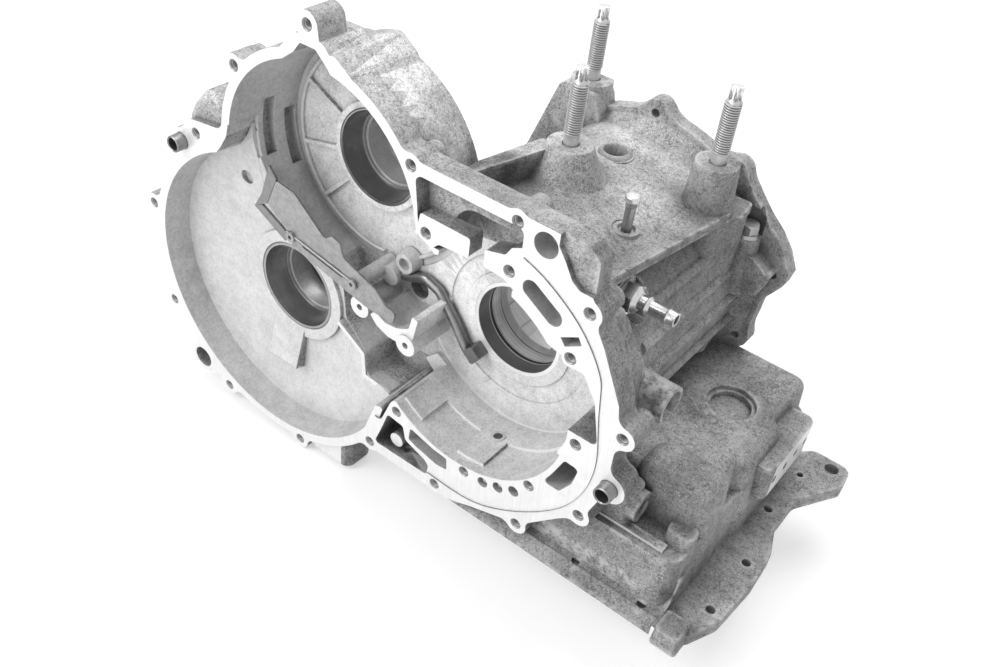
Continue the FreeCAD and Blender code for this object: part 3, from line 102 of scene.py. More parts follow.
class Graph:
    """A small helper that adds nodes to one material and joins them."""

    def __init__(self, name: str) -> None:
        """Start an empty material.

        Args:
            name: name of the new material.
        """
        self.material = bpy.data.materials.new(name)
        self.material.use_nodes = True
        self.tree = self.material.node_tree
        self.tree.nodes.clear()
        self.place = self.add("ShaderNodeTexCoord").outputs["Object"]

    def add(self, kind: str, inputs: dict | None = None, **settings: object) -> bpy.types.Node:
        """Add one node.

        Args:
            kind: Blender's node type.
            inputs: values or sockets by input name or number.
            settings: attributes set on the node itself.

        Returns:
            The new node.
        """
        node = self.tree.nodes.new(kind)
        for key, value in settings.items():
            setattr(node, key, value)
        for key, value in (inputs or {}).items():
            if isinstance(value, Socket):
                self.tree.links.new(value, node.inputs[key])
            else:
                node.inputs[key].default_value = value
        return node

    def math(self, operation: str, a: object, b: object = 0.0, clamp: bool = False) -> Socket:
        """Return the result of one Math node on a and b."""
        return self.add("ShaderNodeMath", {0: a, 1: b}, operation=operation, use_clamp=clamp).outputs[0]

    def noise(self, scale: float, detail: float = 4.0, rough: float = 0.6, warp: float = 0.0,
              place: Socket | None = None) -> Socket:
        """Return a noise value at a scale per metre."""
        values = {"Vector": place or self.place, "Scale": scale, "Detail": detail, "Roughness": rough,
                  "Distortion": warp}
        return self.add("ShaderNodeTexNoise", values).outputs["Fac"]

    def ramp(self, value: Socket, stops: Sequence[tuple[float, float]]) -> Socket:
        """Return a grey ramp of a value.

        Args:
            value: what goes in.
            stops: pairs of position and grey level.

        Returns:
            The colour output.
        """
        node = self.add("ShaderNodeValToRGB", {"Fac": value})
        band = node.color_ramp.elements
        for i, (where, level) in enumerate(stops):
            stop = band[i] if i < 2 else band.new(where)
            stop.position = where
            stop.color = grey(level)
        return node.outputs["Color"]

    def blend(self, factor: object, a: object, b: object, mode: str = "MIX") -> Socket:
        """Return the blend of two colours."""
        node = self.add("ShaderNodeMix", {0: factor, 6: a, 7: b}, data_type="RGBA", blend_type=mode,
                        clamp_result=True)
        return node.outputs[2]

    def weighted(self, first: object, share: float, second: object, other: float) -> Socket:
        """Return the sum of two values, each times its share."""
        return self.math("ADD", self.math("MULTIPLY", first, share), self.math("MULTIPLY", second, other))

    def spread(self, value: Socket, low: float, high: float, start: float = 0.0,
               end: float = 1.0) -> Socket:
        """Return a value that runs from low to high while the given one runs from start to end."""
        values = {"Value": value, "From Min": start, "From Max": end, "To Min": low, "To Max": high}
        return self.add("ShaderNodeMapRange", values).outputs["Result"]

    def flip(self, value: Socket) -> Socket:
        """Return 1 less the value."""
        return self.math("SUBTRACT", 1.0, value)

    def centred_noise(self, scale: float, detail: float, reach: float) -> Socket:
        """Return a noise about 0, of the given reach."""
        return self.math("MULTIPLY", self.math("SUBTRACT", self.noise(scale, detail, 0.6), 0.5), reach)

    def shut_in(self, distance: float, low: float, high: float, inside: bool = False) -> Socket:
        """Return 1 in hollows, or on ridges where inside is set.

        Args:
            distance: how far a neighbouring wall counts, in metres.
            low: openness that gives 1.
            high: openness that gives 0.
            inside: look into the metal instead of out of it.

        Returns:
            The value.
        """
        node = self.add("ShaderNodeAmbientOcclusion", {"Distance": distance}, samples=4, inside=inside)
        return self.flip(self.band(node.outputs["AO"], low, high))

    def from_axis(self, axis: tuple[float, float]) -> Socket:
        """Return the distance from an axis along Y, given by its x and z."""
        foot = (axis[0], 0.0, axis[1])
        off = self.add("ShaderNodeVectorMath", {0: self.place, 1: foot}, operation="SUBTRACT")
        flat = self.add("ShaderNodeVectorMath", {0: off.outputs[0], 1: (1.0, 0.0, 1.0)}, operation="MULTIPLY")
        return self.add("ShaderNodeVectorMath", {0: flat.outputs[0]}, operation="LENGTH").outputs["Value"]

    def depth(self) -> Socket:
        """Return the place along Y."""
        return self.add("ShaderNodeSeparateXYZ", {0: self.place}).outputs["Y"]

    def band(self, socket: Socket, low: float, high: float) -> Socket:
        """Return 0 below low and 1 above high, with a smooth step between."""
        values = {"Value": socket, "From Min": low, "From Max": high}
        return self.add("ShaderNodeMapRange", values, interpolation_type="SMOOTHSTEP").outputs["Result"]

    def finish(self, colour: Socket, roughness: Socket, height: Socket,
               depth: float, edge: float, metallic: float, specular: float = 0.5) -> Material:
        """Join colour, roughness and relief to the surface.

        Args:
            colour: surface colour.
            roughness: surface roughness.
            height: relief between 0 and 1.
            depth: depth of the relief in metres.
            edge: radius of the softened edges in metres, or 0.
            metallic: metallic share.
            specular: specular level.

        Returns:
            The material.
        """
        values = {"Height": height, "Distance": depth, "Strength": 1.0}
        if edge > 0:
            values["Normal"] = self.add("ShaderNodeBevel", {"Radius": edge}, samples=4).outputs["Normal"]
        bump = self.add("ShaderNodeBump", values)
        shader = self.add("ShaderNodeBsdfPrincipled", {
            "Base Color": colour, "Roughness": roughness, "Metallic": metallic,
            "Specular IOR Level": specular, "Normal": bump.outputs["Normal"]})
        output = self.add("ShaderNodeOutputMaterial")
        self.tree.links.new(shader.outputs[0], output.inputs["Surface"])
        return self.material


def grey(level: float) -> tuple[float, float, float, float]:
    """Return a grey colour."""
    return (level, level, level, 1.0)


@dataclass(frozen=True)
class CastSkin:
    """Blasted as-cast aluminium with stains and pale rubbed spots."""

    name: str
    dark: float
    light: float
    speckle: float = 0.5
    stains: float = 0.5
    relief: float = 0.35
    roughness: float = 0.62
    edge: float = 1.3
    # share of the darkening in hollows: partly grime, partly painted shade
    grime_and_painted_shade: float = 0.55
    # share of the painted light slope, lighter towards the upper left
    painted_light_slope: float = 0.0
    grain: float = 0.5
    worn: float = 0.0
    # radius in mm of the painted highlight line on the pocket floor's step, or 0
    painted_highlight_ring: float = 0.0
    # painted shadows (level under 1) and pools of light (level over 1): centre and radius in mm, and level
    painted_light_patches: tuple = ()

    def material(self) -> Material:
        """Build the material."""
        g = Graph(self.name)
        broad = g.noise(24.0, 4.0, 0.6)
        cloud = g.noise(120.0, 4.0, 0.65)
        grain = g.noise(430.0, 3.0, 0.75)
        fine = g.noise(1100.0, 2.0, 0.6)
        soot, gleam = grey(self.dark * 0.5), grey(min(0.95, self.light * 1.4))
        tone = g.weighted(g.math("ADD", broad, cloud), 0.5 * (1.0 - self.grain), grain, self.grain)
        colour = g.ramp(tone, [(0.40, self.dark), (0.61, self.light)])
        stain = g.band(g.noise(34.0, 5.0, 0.65, 0.2), 0.52, 0.68)
        colour = g.blend(g.math("MULTIPLY", stain, self.stains), colour, soot)
        spots = g.band(fine, 0.55, 0.64)
        colour = g.blend(g.math("MULTIPLY", spots, self.speckle), colour, gleam)
        pits = g.band(grain, 0.58, 0.66)
        colour = g.blend(g.math("MULTIPLY", pits, self.speckle * 0.7), colour, soot)
        # painted light and shade: a slope of brightness towards the upper left
        if self.painted_light_slope > 0:
            colour = self.paint_light_slope(g, colour)
        # painted shadows and pools of light at listed places
        for patch in self.painted_light_patches:
            colour = self.paint_light_patch(g, colour, patch)
        # painted highlight on the edge of the pocket floor's step
        if self.painted_highlight_ring > 0:
            colour = self.paint_step_highlight(g, colour)
        # painted shade, partly grime: hollows darkened from ambient occlusion
        hollow = g.math("MULTIPLY", g.shut_in(0.022, 0.30, 0.95), self.grime_and_painted_shade)
        colour = g.blend(hollow, colour, grey(self.dark * 0.40))
        if self.worn > 0:
            ridge = g.math("MULTIPLY", g.shut_in(0.004, 0.50, 0.95, True), g.band(cloud, 0.40, 0.60))
            rubbed = grey(min(0.92, self.light * 1.25))
            colour = g.blend(g.math("MULTIPLY", ridge, self.worn), colour, rubbed)
        rough = g.spread(cloud, self.roughness - 0.12, self.roughness + 0.14)
        height = g.weighted(grain, 0.6, cloud, 0.7)
        return g.finish(colour, rough, height, self.relief * MM, self.edge * MM, 0.15, 0.4)

    def paint_step_highlight(self, g: Graph, colour: Socket) -> Socket:
        """Paint a highlight line round the step in the main pocket's floor, where its edge catches the light.

        Args:
            g: the material's graph.
            colour: colour so far.

        Returns:
            The colour with the line on it.
        """
        off = g.math("ABSOLUTE", g.math("SUBTRACT", g.from_axis(MAIN_AXIS), self.painted_highlight_ring * MM))
        line = g.flip(g.band(off, 0.4 * MM, 0.9 * MM))
        line = g.math("MULTIPLY", line, g.band(g.depth(), FACE_Y + 58.4 * MM, FACE_Y + 59.2 * MM))
        return g.blend(g.math("MULTIPLY", line, 0.8), colour, grey(0.95))

    def paint_light_patch(self, g: Graph, colour: Socket, patch: Sequence[float]) -> Socket:
        """Paint shade over a shadowed corner of the casting, or light over a lit one.

        Args:
            g: the material's graph.
            colour: colour so far.
            patch: its centre and radius in mm in the frame, and its level.

        Returns:
            The colour with the patch on it.
        """
        centre, reach, level = Vector(patch[:3]) * MM, patch[3] * MM, patch[4]
        away = g.add("ShaderNodeVectorMath", {0: g.place, 1: centre}, operation="DISTANCE").outputs["Value"]
        ragged = g.math("ADD", away, g.centred_noise(40.0, 4.0, 0.9 * reach))
        return g.blend(g.flip(g.band(ragged, 0.45 * reach, reach)), colour, grey(level), "MULTIPLY")

    def paint_light_slope(self, g: Graph, colour: Socket) -> Socket:
        """Paint light and shade over the casting: lighter towards the upper left, where the light falls, than
        towards the lower right, with a random mottle.

        Args:
            g: the material's graph.
            colour: colour so far.

        Returns:
            The colour with the painted light and shade laid over it.
        """
        along = g.add("ShaderNodeVectorMath", {0: g.place, 1: (-0.7, 0.0, 0.7)}, operation="DOT_PRODUCT")
        place = g.math("ADD", along.outputs["Value"], g.centred_noise(9.0, 3.0, 0.16))
        # painted light: up to 1.75 times lighter towards the upper left
        level = g.spread(place, 0.95, 1.75, -0.02, 0.20)
        level = g.math("MULTIPLY", level, g.spread(g.noise(17.0, 3.0, 0.6), 0.72, 1.22, 0.38, 0.62))
        shade = g.add("ShaderNodeCombineColor", {0: level, 1: level, 2: level}).outputs[0]
        return g.blend(self.painted_light_slope, colour, shade, "MULTIPLY")


@dataclass(frozen=True)
class CutSkin:
    """Milled or turned metal with fine tool marks."""

    name: str
    tone: float
    marks: float = 0.06
    spacing: float = 1.4
    turned_about: tuple[float, float] | None = None
    roughness: float = 0.34
    metallic: float = 0.55
    edge: float = 0.35

    def material(self) -> Material:
        """Build the material."""
        g = Graph(self.name)
        if self.turned_about is None:
            place = g.add("ShaderNodeMapping", {"Vector": g.place, "Scale": (1.0, 0.05, 0.05),
                                                "Rotation": (0.0, 0.7, 0.0)}).outputs[0]
            lines = g.noise(900.0 / self.spacing, 2.0, 0.5, 0.0, place)
        else:
            rings = g.add("ShaderNodeCombineXYZ", {0: g.from_axis(self.turned_about), 1: g.depth()})
            lines = g.noise(1500.0 / self.spacing, 2.0, 0.5, 0.0, rings.outputs[0])
        worn = g.noise(60.0, 5.0, 0.65, 0.8)
        tone = g.weighted(lines, 0.55, worn, 0.45)
        low = max(0.0, self.tone * (1.0 - 2.2 * self.marks))
        colour = g.ramp(tone, [(0.34, low), (0.62, self.tone)])
        stain = g.band(g.noise(150.0, 5.0, 0.7, 1.0), 0.60, 0.72)
        colour = g.blend(g.math("MULTIPLY", stain, self.marks * 4.0, True), colour, grey(self.tone * 0.55))
        rough = g.spread(worn, self.roughness - 0.08, self.roughness + 0.12)
        return g.finish(colour, rough, lines, 0.02 * MM, self.edge * MM, self.metallic)


@dataclass(frozen=True)
class SteelSkin:
    """Plain steel: plated, ground or stamped."""

    name: str
    tone: float
    roughness: float = 0.3
    metallic: float = 0.9
    rust: float = 0.12
    edge: float = 0.25

    def material(self) -> Material:
        """Build the material."""
        g = Graph(self.name)
        cloud = g.noise(240.0, 5.0, 0.6, 0.5)
        scuff = g.noise(1400.0, 3.0, 0.6)
        tone = g.weighted(cloud, 0.65, scuff, 0.35)
        colour = g.ramp(tone, [(0.33, self.tone * (1.0 - 2.0 * self.rust)), (0.64, self.tone)])
        # painted shade: hollows darkened from ambient occlusion
        hollow = g.math("MULTIPLY", g.shut_in(0.003, 0.3, 0.9), 0.6)
        colour = g.blend(hollow, colour, grey(self.tone * 0.25))
        rough = g.spread(cloud, self.roughness - 0.08, self.roughness + 0.14)
        return g.finish(colour, rough, scuff, 0.03 * MM, self.edge * MM, self.metallic)


@dataclass(frozen=True)
class RubberSkin:
    """Black seal rubber, and the set sealant."""

    name: str
    tone: float
    roughness: float = 0.55

    def material(self) -> Material:
        """Build the material."""
        g = Graph(self.name)
        cloud = g.noise(300.0, 4.0, 0.6)
        colour = g.ramp(cloud, [(0.3, self.tone * 0.7), (0.7, self.tone * 1.3)])
        rough = g.spread(cloud, self.roughness - 0.1, self.roughness + 0.1)
        return g.finish(colour, rough, g.noise(900.0), 0.05 * MM, 0.0, 0.0)


def in_frame(x: float, depth: float, z: float) -> tuple[float, float, float]:
    """Return a place in metres, from x, the depth behind the mating face and z in millimetres."""
    return (x * MM, FACE_Y + depth * MM, z * MM)


def linked(name: str, data: bpy.types.ID) -> bpy.types.Object:
    """Return a new object of the scene with its data."""
    made = bpy.data.objects.new(name, data)
    bpy.context.scene.collection.objects.link(made)
    return made


def new_piece(name: str, mesh: Mesh, materials: Iterable[Material],
              replaced: Sequence[str] = ()) -> bpy.types.Object:
    """Put a mesh in the scene as a piece of the case.

    Args:
        name: piece name.
        mesh: mesh in the frame, in metres.
        materials: its finishes, in slot order.
        replaced: CAD nodes that the piece stands for.

    Returns:
        The piece's object.
    """
    piece = linked(name, mesh)
    if not mesh.materials:
        for material in materials:
            mesh.materials.append(material)
    if replaced:
        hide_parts(*replaced)
    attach(piece, "root")
    LOG.info("%s: %d faces", name, len(mesh.polygons))
    return piece


def finished(work: BMesh, name: str, sharp: float | None = None) -> Mesh:
    """Turn the worked faces into a mesh.

    Args:
        work: the faces; it is freed.
        name: mesh name.
        sharp: edges that bend by more degrees stay sharp, or None to leave the edges alone.

    Returns:
        The mesh.
    """
    if sharp is not None:
        for edge in work.edges:
            edge.smooth = edge.calc_face_angle(0.0) < math.radians(sharp)
    mesh = bpy.data.meshes.new(name)
    work.to_mesh(mesh)
    work.free()
    return mesh


def join_rings(work: BMesh, rings: list[list], closed: bool = False) -> None:
    """Join rings of points with smooth faces, with a lid at both ends or the last to the first."""
    for low, high in zip(rings, rings[1:] + rings[:1] if closed else rings[1:]):
        for i in range(len(low)):
            j = (i + 1) % len(low)
            work.faces.new((low[i], low[j], high[j], high[i])).smooth = True
    if not closed:
        work.faces.new(list(reversed(rings[0])))
        work.faces.new(rings[-1])


def turned_rings(work: BMesh, outline: Sequence[tuple[float, float]], place: Sequence[float],
                 steps: int) -> list[list]:
    """Return a ring of points for each radius and height in millimetres, from a place in metres."""
    x, y, z = place
    turns = [2 * math.pi * i / steps for i in range(steps)]
    rings = []
    for radius, height in outline:
        r, up = radius * MM, z + height * MM
        rings.append([work.verts.new((x + r * math.cos(t), y + r * math.sin(t), up)) for t in turns])
    return rings


def merged_copy(node: bpy.types.Object, name: str, sharp: float = 32.0) -> Mesh:
    """Copy a CAD node's mesh with its loose triangles joined and its curved sides smooth.

    Args:
        node: the CAD node's object.
        name: name of the new mesh.
        sharp: edges that turn by more than this angle in degrees stay sharp.

    Returns:
        The new mesh.
    """
    work = bmesh.new()
    work.from_mesh(node.data)
    bmesh.ops.remove_doubles(work, verts=work.verts, dist=2e-6)
    for face in work.faces:
        face.smooth = True
    limit = math.radians(sharp)
    for edge in work.edges:
        edge.smooth = len(edge.link_faces) == 2 and edge.calc_face_angle(0.0) < limit
    return finished(work, name)


@dataclass(frozen=True)
class Pocket:
    """One gear pocket of the casting, in mm, with depths from the mating face.

    Its floor has the dish's finish beyond the radius dish, and its walls have the finish side.
    """

    x: float
    z: float
    wall: float
    floor: float
    seat: float
    seat_front: float
    dish: float
    side: Zone = Zone.POCKET_WALL
    seat_back: float = 110.0
    shoulder: float = 12.0

    def zone(self, centre: Vector, normal: Vector) -> Zone | None:
        """Return the zone of a face in this pocket, or None outside it."""
        out = Vector((centre.x - self.x, 0.0, centre.z - self.z))
        away = out.length
        facing = normal.y < -0.3
        if away < self.seat and self.seat_front < centre.y < self.seat_back:
            return Zone.MACHINED if facing and centre.y < self.seat_front + self.shoulder else Zone.BORE
        inward = normal.dot(out) / max(away, 1e-6) < -0.25
        if away >= self.wall or centre.y >= self.floor or not (inward or facing):
            return None
        if not facing:
            return self.side
        return Zone.DISH if away > self.dish else Zone.POCKET_FLOOR


@dataclass
class CaseCasting:
    """The casting: a smooth copy of the solid whose faces are sorted into finishes.

    Its sizes are in mm, and a depth is measured from the mating face.
    """

    planes: tuple = (
        ("y", -1, 0.0), ("y", -1, 1.5), ("y", -1, 5.0), ("y", -1, 8.0), ("y", -1, 20.0), ("y", -1, 21.65),
        ("y", -1, 25.5), ("y", -1, 56.0), ("y", 1, 226.0), ("z", -1, -128.0), ("x", 1, 66.0), ("x", 1, 186.0),
    )
    slots: list = field(default_factory=lambda: [
        # cast_outside: patches with levels under 1 paint shadow into corners, levels over 1 paint light onto
        # lit faces
        CastSkin("cast_outside", 0.16, 0.54, 0.60, 0.40, 0.5, 0.62, 1.3, 0.65, 1.0, 0.55, 0.8, painted_light_patches=(
            (-38.5, 1.0, 113.7, 30.0, 0.42), (-29.0, 24.0, 95.5, 26.0, 0.48),
            (125.1, -17.0, 27.1, 24.0, 0.72), (123.7, 97.4, -52.0, 34.0, 1.6),
            (195.6, 15.0, -117.0, 40.0, 0.72), (-102.3, -27.2, 168.4, 40.0, 1.14),
        )),
        CutSkin("milled_face", 0.90, 0.05, metallic=0.42),
        CutSkin("bored_seat", 0.56, 0.16, 1.6, MAIN_AXIS, 0.36, 0.4),
        CastSkin("cast_dish", 0.58, 0.80, 0.20, 0.18, 0.10, 0.5, 1.2, 0.3),
        CastSkin("cast_pocket_wall", 0.46, 0.70, 0.12, 0.20, 0.10, 0.5, 1.0, 0.25),
        # cast_pocket_floor: a painted highlight ring on the step, and painted pools of light on the floor
        CastSkin("cast_pocket_floor", 0.50, 0.88, 0.65, 0.30, 0.16, 0.55, 1.0, 0.35, painted_highlight_ring=82.4,
                 painted_light_patches=((-170.0, 3.0, 50.0, 90.0, 1.2), (-57.9, 1.2, 7.9, 45.0, 1.35))),
        CutSkin("turned_drum", 0.62, 0.10, 2.4, MAIN_AXIS, 0.4, 0.4),
        CutSkin("tapped_wall", 0.34, 0.08, 1.0, None, 0.38, 0.4),
        CastSkin("cast_flange_side", 0.12, 0.40, 0.60, 0.40, 0.5, 0.62, 1.3, 0.6, 1.0, 0.55, 0.8),
    ])
    windows: tuple = (
        (53.1, 85.9, 24.0), (87.2, -37.2, 17.0), (49.5, 126.0, 11.5), (-23.2, -95.3, 24.0), (76.5, 72.1, 8.0),
        (27.1, -87.8, 5.0), (40.1, -83.3, 5.0), (53.1, -77.3, 5.0),
    )
    window_depths: tuple = (0.2, 60.0)
    holes: tuple = ()
    hole_reach: float = 4.6
    hole_depth: float = 22.0
    pockets: tuple = (
        Pocket(-187.5, -46.5, 120.8, 40.0, 38.3, 28.9, -1.0),
        Pocket(-133.5, 80.5, 90.0, 64.0, 36.8, 58.4, 75.0),
        Pocket(0.0, 0.0, 88.0, 61.5, 39.2, 50.0, 200.0, Zone.POCKET_FLOOR),
    )
    step: tuple = (86.0, 35.5, 36.5)
    drum: tuple = (88.3, 67.0)
    middle: tuple = ((-125.0, -40.0), (2.0, 62.0), (-70.0, 45.0))
    flange_depth: float = 24.0

    def in_window(self, centre: Vector, normal: Vector) -> bool:
        """Return whether a face is a wall of a window in the lands."""
        for x, z, reach in self.windows:
            out = Vector((centre.x - x, 0.0, centre.z - z))
            if out.length < reach and normal.dot(out) < 0.0:
                return True
        return False

    def milled(self, centre: Vector, normal: Vector) -> bool:
        """Return whether a face lies in a milled plane."""
        reach, low, high = self.step
        if low < centre.y < high and normal.y < -0.9 and math.hypot(centre.x, centre.z) < reach:
            return True
        for axis, sign, level in self.planes:
            i = "xyz".index(axis)
            if normal[i] * sign > 0.999 and abs(centre[i] - level) < 0.05:
                return True
        return False

    def zone(self, centre: Vector, normal: Vector) -> Zone:
        """Return the zone of one face.

        Args:
            centre: the face's centre, in mm, with y from the mating face.
            normal: its outward direction.

        Returns:
            The zone.
        """
        upright = abs(normal.y) < 0.9
        if centre.y < self.hole_depth and abs(normal.y) < 0.95:
            if any(math.hypot(centre.x - x, centre.z - z) < self.hole_reach for x, z in self.holes):
                return Zone.TAPPED
        low, high = self.window_depths
        if low < centre.y < high and upright and self.in_window(centre, normal):
            return Zone.POCKET_WALL
        if self.milled(centre, normal):
            return Zone.MACHINED
        for pocket in self.pockets:
            found = pocket.zone(centre, normal)
            if found is not None:
                return found
        reach, front = self.drum
        if math.hypot(centre.x, centre.z) < reach and centre.y > front:
            return Zone.DRUM
        if all(low < value < high for (low, high), value in zip(self.middle, centre)):
            return Zone.POCKET_WALL
        return Zone.FLANGE_SIDE if centre.y < self.flange_depth and upright else Zone.OUTSIDE

    def build(self, node: bpy.types.Object) -> None:
        """Copy the casting and give each face its finish."""
        mesh = merged_copy(node, "case_casting")
        for skin in self.slots:
            mesh.materials.append(skin.material())
        for face in mesh.polygons:
            centre = Vector((face.center.x, face.center.y - FACE_Y, face.center.z)) / MM
            face.material_index = self.zone(centre, face.normal).value
        new_piece("case_casting", mesh, [], ("transaxle_case",))


@dataclass
class CarriedPieces:
    """CAD nodes whose shape is right: each gets its finish."""

    skins: dict = field(default_factory=lambda: {
        "dowel_sleeves": (SteelSkin("dowel_steel", 0.30, 0.35), "dark_steel"),
        "cooler_hose_fitting": (SteelSkin("plated_fitting", 0.75, 0.26), "bright_steel"),
        "fitting_seal_washer": (SteelSkin("washer_metal", 0.55, 0.4), "bright_steel"),
        "vent_pipe": (SteelSkin("vent_steel", 0.42, 0.35), "bright_steel"),
        "bracket_bolt": (SteelSkin("plated_bolt", 0.50, 0.38), "steel_stud"),
        "differential_bearing_cup": (
            CutSkin("differential_race", 0.42, 0.16, 0.9, DIFFERENTIAL_AXIS, 0.22, 0.85), "bearing_steel"),
        "differential_preload_shim": (SteelSkin("shim_steel", 0.40, 0.3), "stamped_steel"),
        "idler_bearing_cup": (
            CutSkin("idler_race", 0.36, 0.16, 0.9, IDLER_AXIS, 0.22, 0.85), "bearing_steel"),
        "idler_preload_shim": (SteelSkin("idler_shim_steel", 0.40, 0.3), "stamped_steel"),
        "idler_bore_plug": (SteelSkin("plug_steel", 0.55, 0.4, 0.7), "dark_steel"),
        "main_bore_snap_ring": (SteelSkin("spring_steel", 0.16, 0.35), "dark_steel"),
        "oil_baffle": (SteelSkin("stamped_sheet", 0.42, 0.40, 0.8, 0.20), "stamped_steel"),
        "baffle_screws": (SteelSkin("screw_steel", 0.42, 0.4), "dark_steel"),
        "lube_pipe": (SteelSkin("pipe_steel", 0.26, 0.34), "dark_steel"),
        "lube_pipe_clamp": (SteelSkin("clamp_steel", 0.22, 0.42), "dark_steel"),
        "gallery_balls": (SteelSkin("ball_steel", 0.40, 0.25), "bright_steel"),
        "differential_oil_seal": (RubberSkin("seal_rubber_skin", 0.035), "seal_rubber"),
    })

    def dress(self, nodes: dict[str, bpy.types.Object]) -> None:
        """Replace each small node by its smooth copy in its own finish."""
        for name, (skin, slot) in self.skins.items():
            if name not in nodes:
                LOG.warning("no node %s", name)
                continue
            mesh = merged_copy(nodes[name], name + "_dressed", 30.0)
            new_piece(name + "_dressed", mesh, [skin.material()], (name,))


@dataclass
class MainSleeve:
    """The steel sleeve in the main bore: bright rim, dark mouth, black groove and striped seat."""

    skins: tuple = (
        CutSkin("sleeve_rim", 0.92, 0.03, 1.0, MAIN_AXIS, 0.3, 0.5),
        CutSkin("sleeve_mouth", 0.20, 0.10, 1.2, MAIN_AXIS, 0.3, 0.7),
        RubberSkin("sleeve_groove", 0.02),
        CutSkin("sleeve_seat", 0.72, 0.20, 2.2, MAIN_AXIS, 0.3, 0.5),
    )
    bands: tuple = ((60.6, 0), (72.5, 1), (73.3, 3), (76.0, 2))

    def finish(self, face: bpy.types.MeshPolygon) -> int:
        """Return the slot of one face by its depth in the bore."""
        if face.normal.y < -0.5:
            return 0
        depth = (face.center.y - FACE_Y) / MM
        for end, slot in self.bands:
            if depth < end:
                return slot
        return 3

    def build(self, node: bpy.types.Object) -> None:
        """Copy the sleeve, cut it into bands and dress each."""
        mesh = merged_copy(node, "main_bore_sleeve_dressed", 30.0)
        work = bmesh.new()
        work.from_mesh(mesh)
        for end, _ in self.bands:
            parts = list(work.verts) + list(work.edges) + list(work.faces)
            cut = in_frame(0.0, end, 0.0)
            bmesh.ops.bisect_plane(work, geom=parts, plane_co=cut, plane_no=(0.0, 1.0, 0.0))
        work.to_mesh(mesh)
        work.free()
        for skin in self.skins:
            mesh.materials.append(skin.material())
        for face in mesh.polygons:
            face.material_index = self.finish(face)
        new_piece("main_bore_sleeve_dressed", mesh, [], ("main_bore_sleeve",))


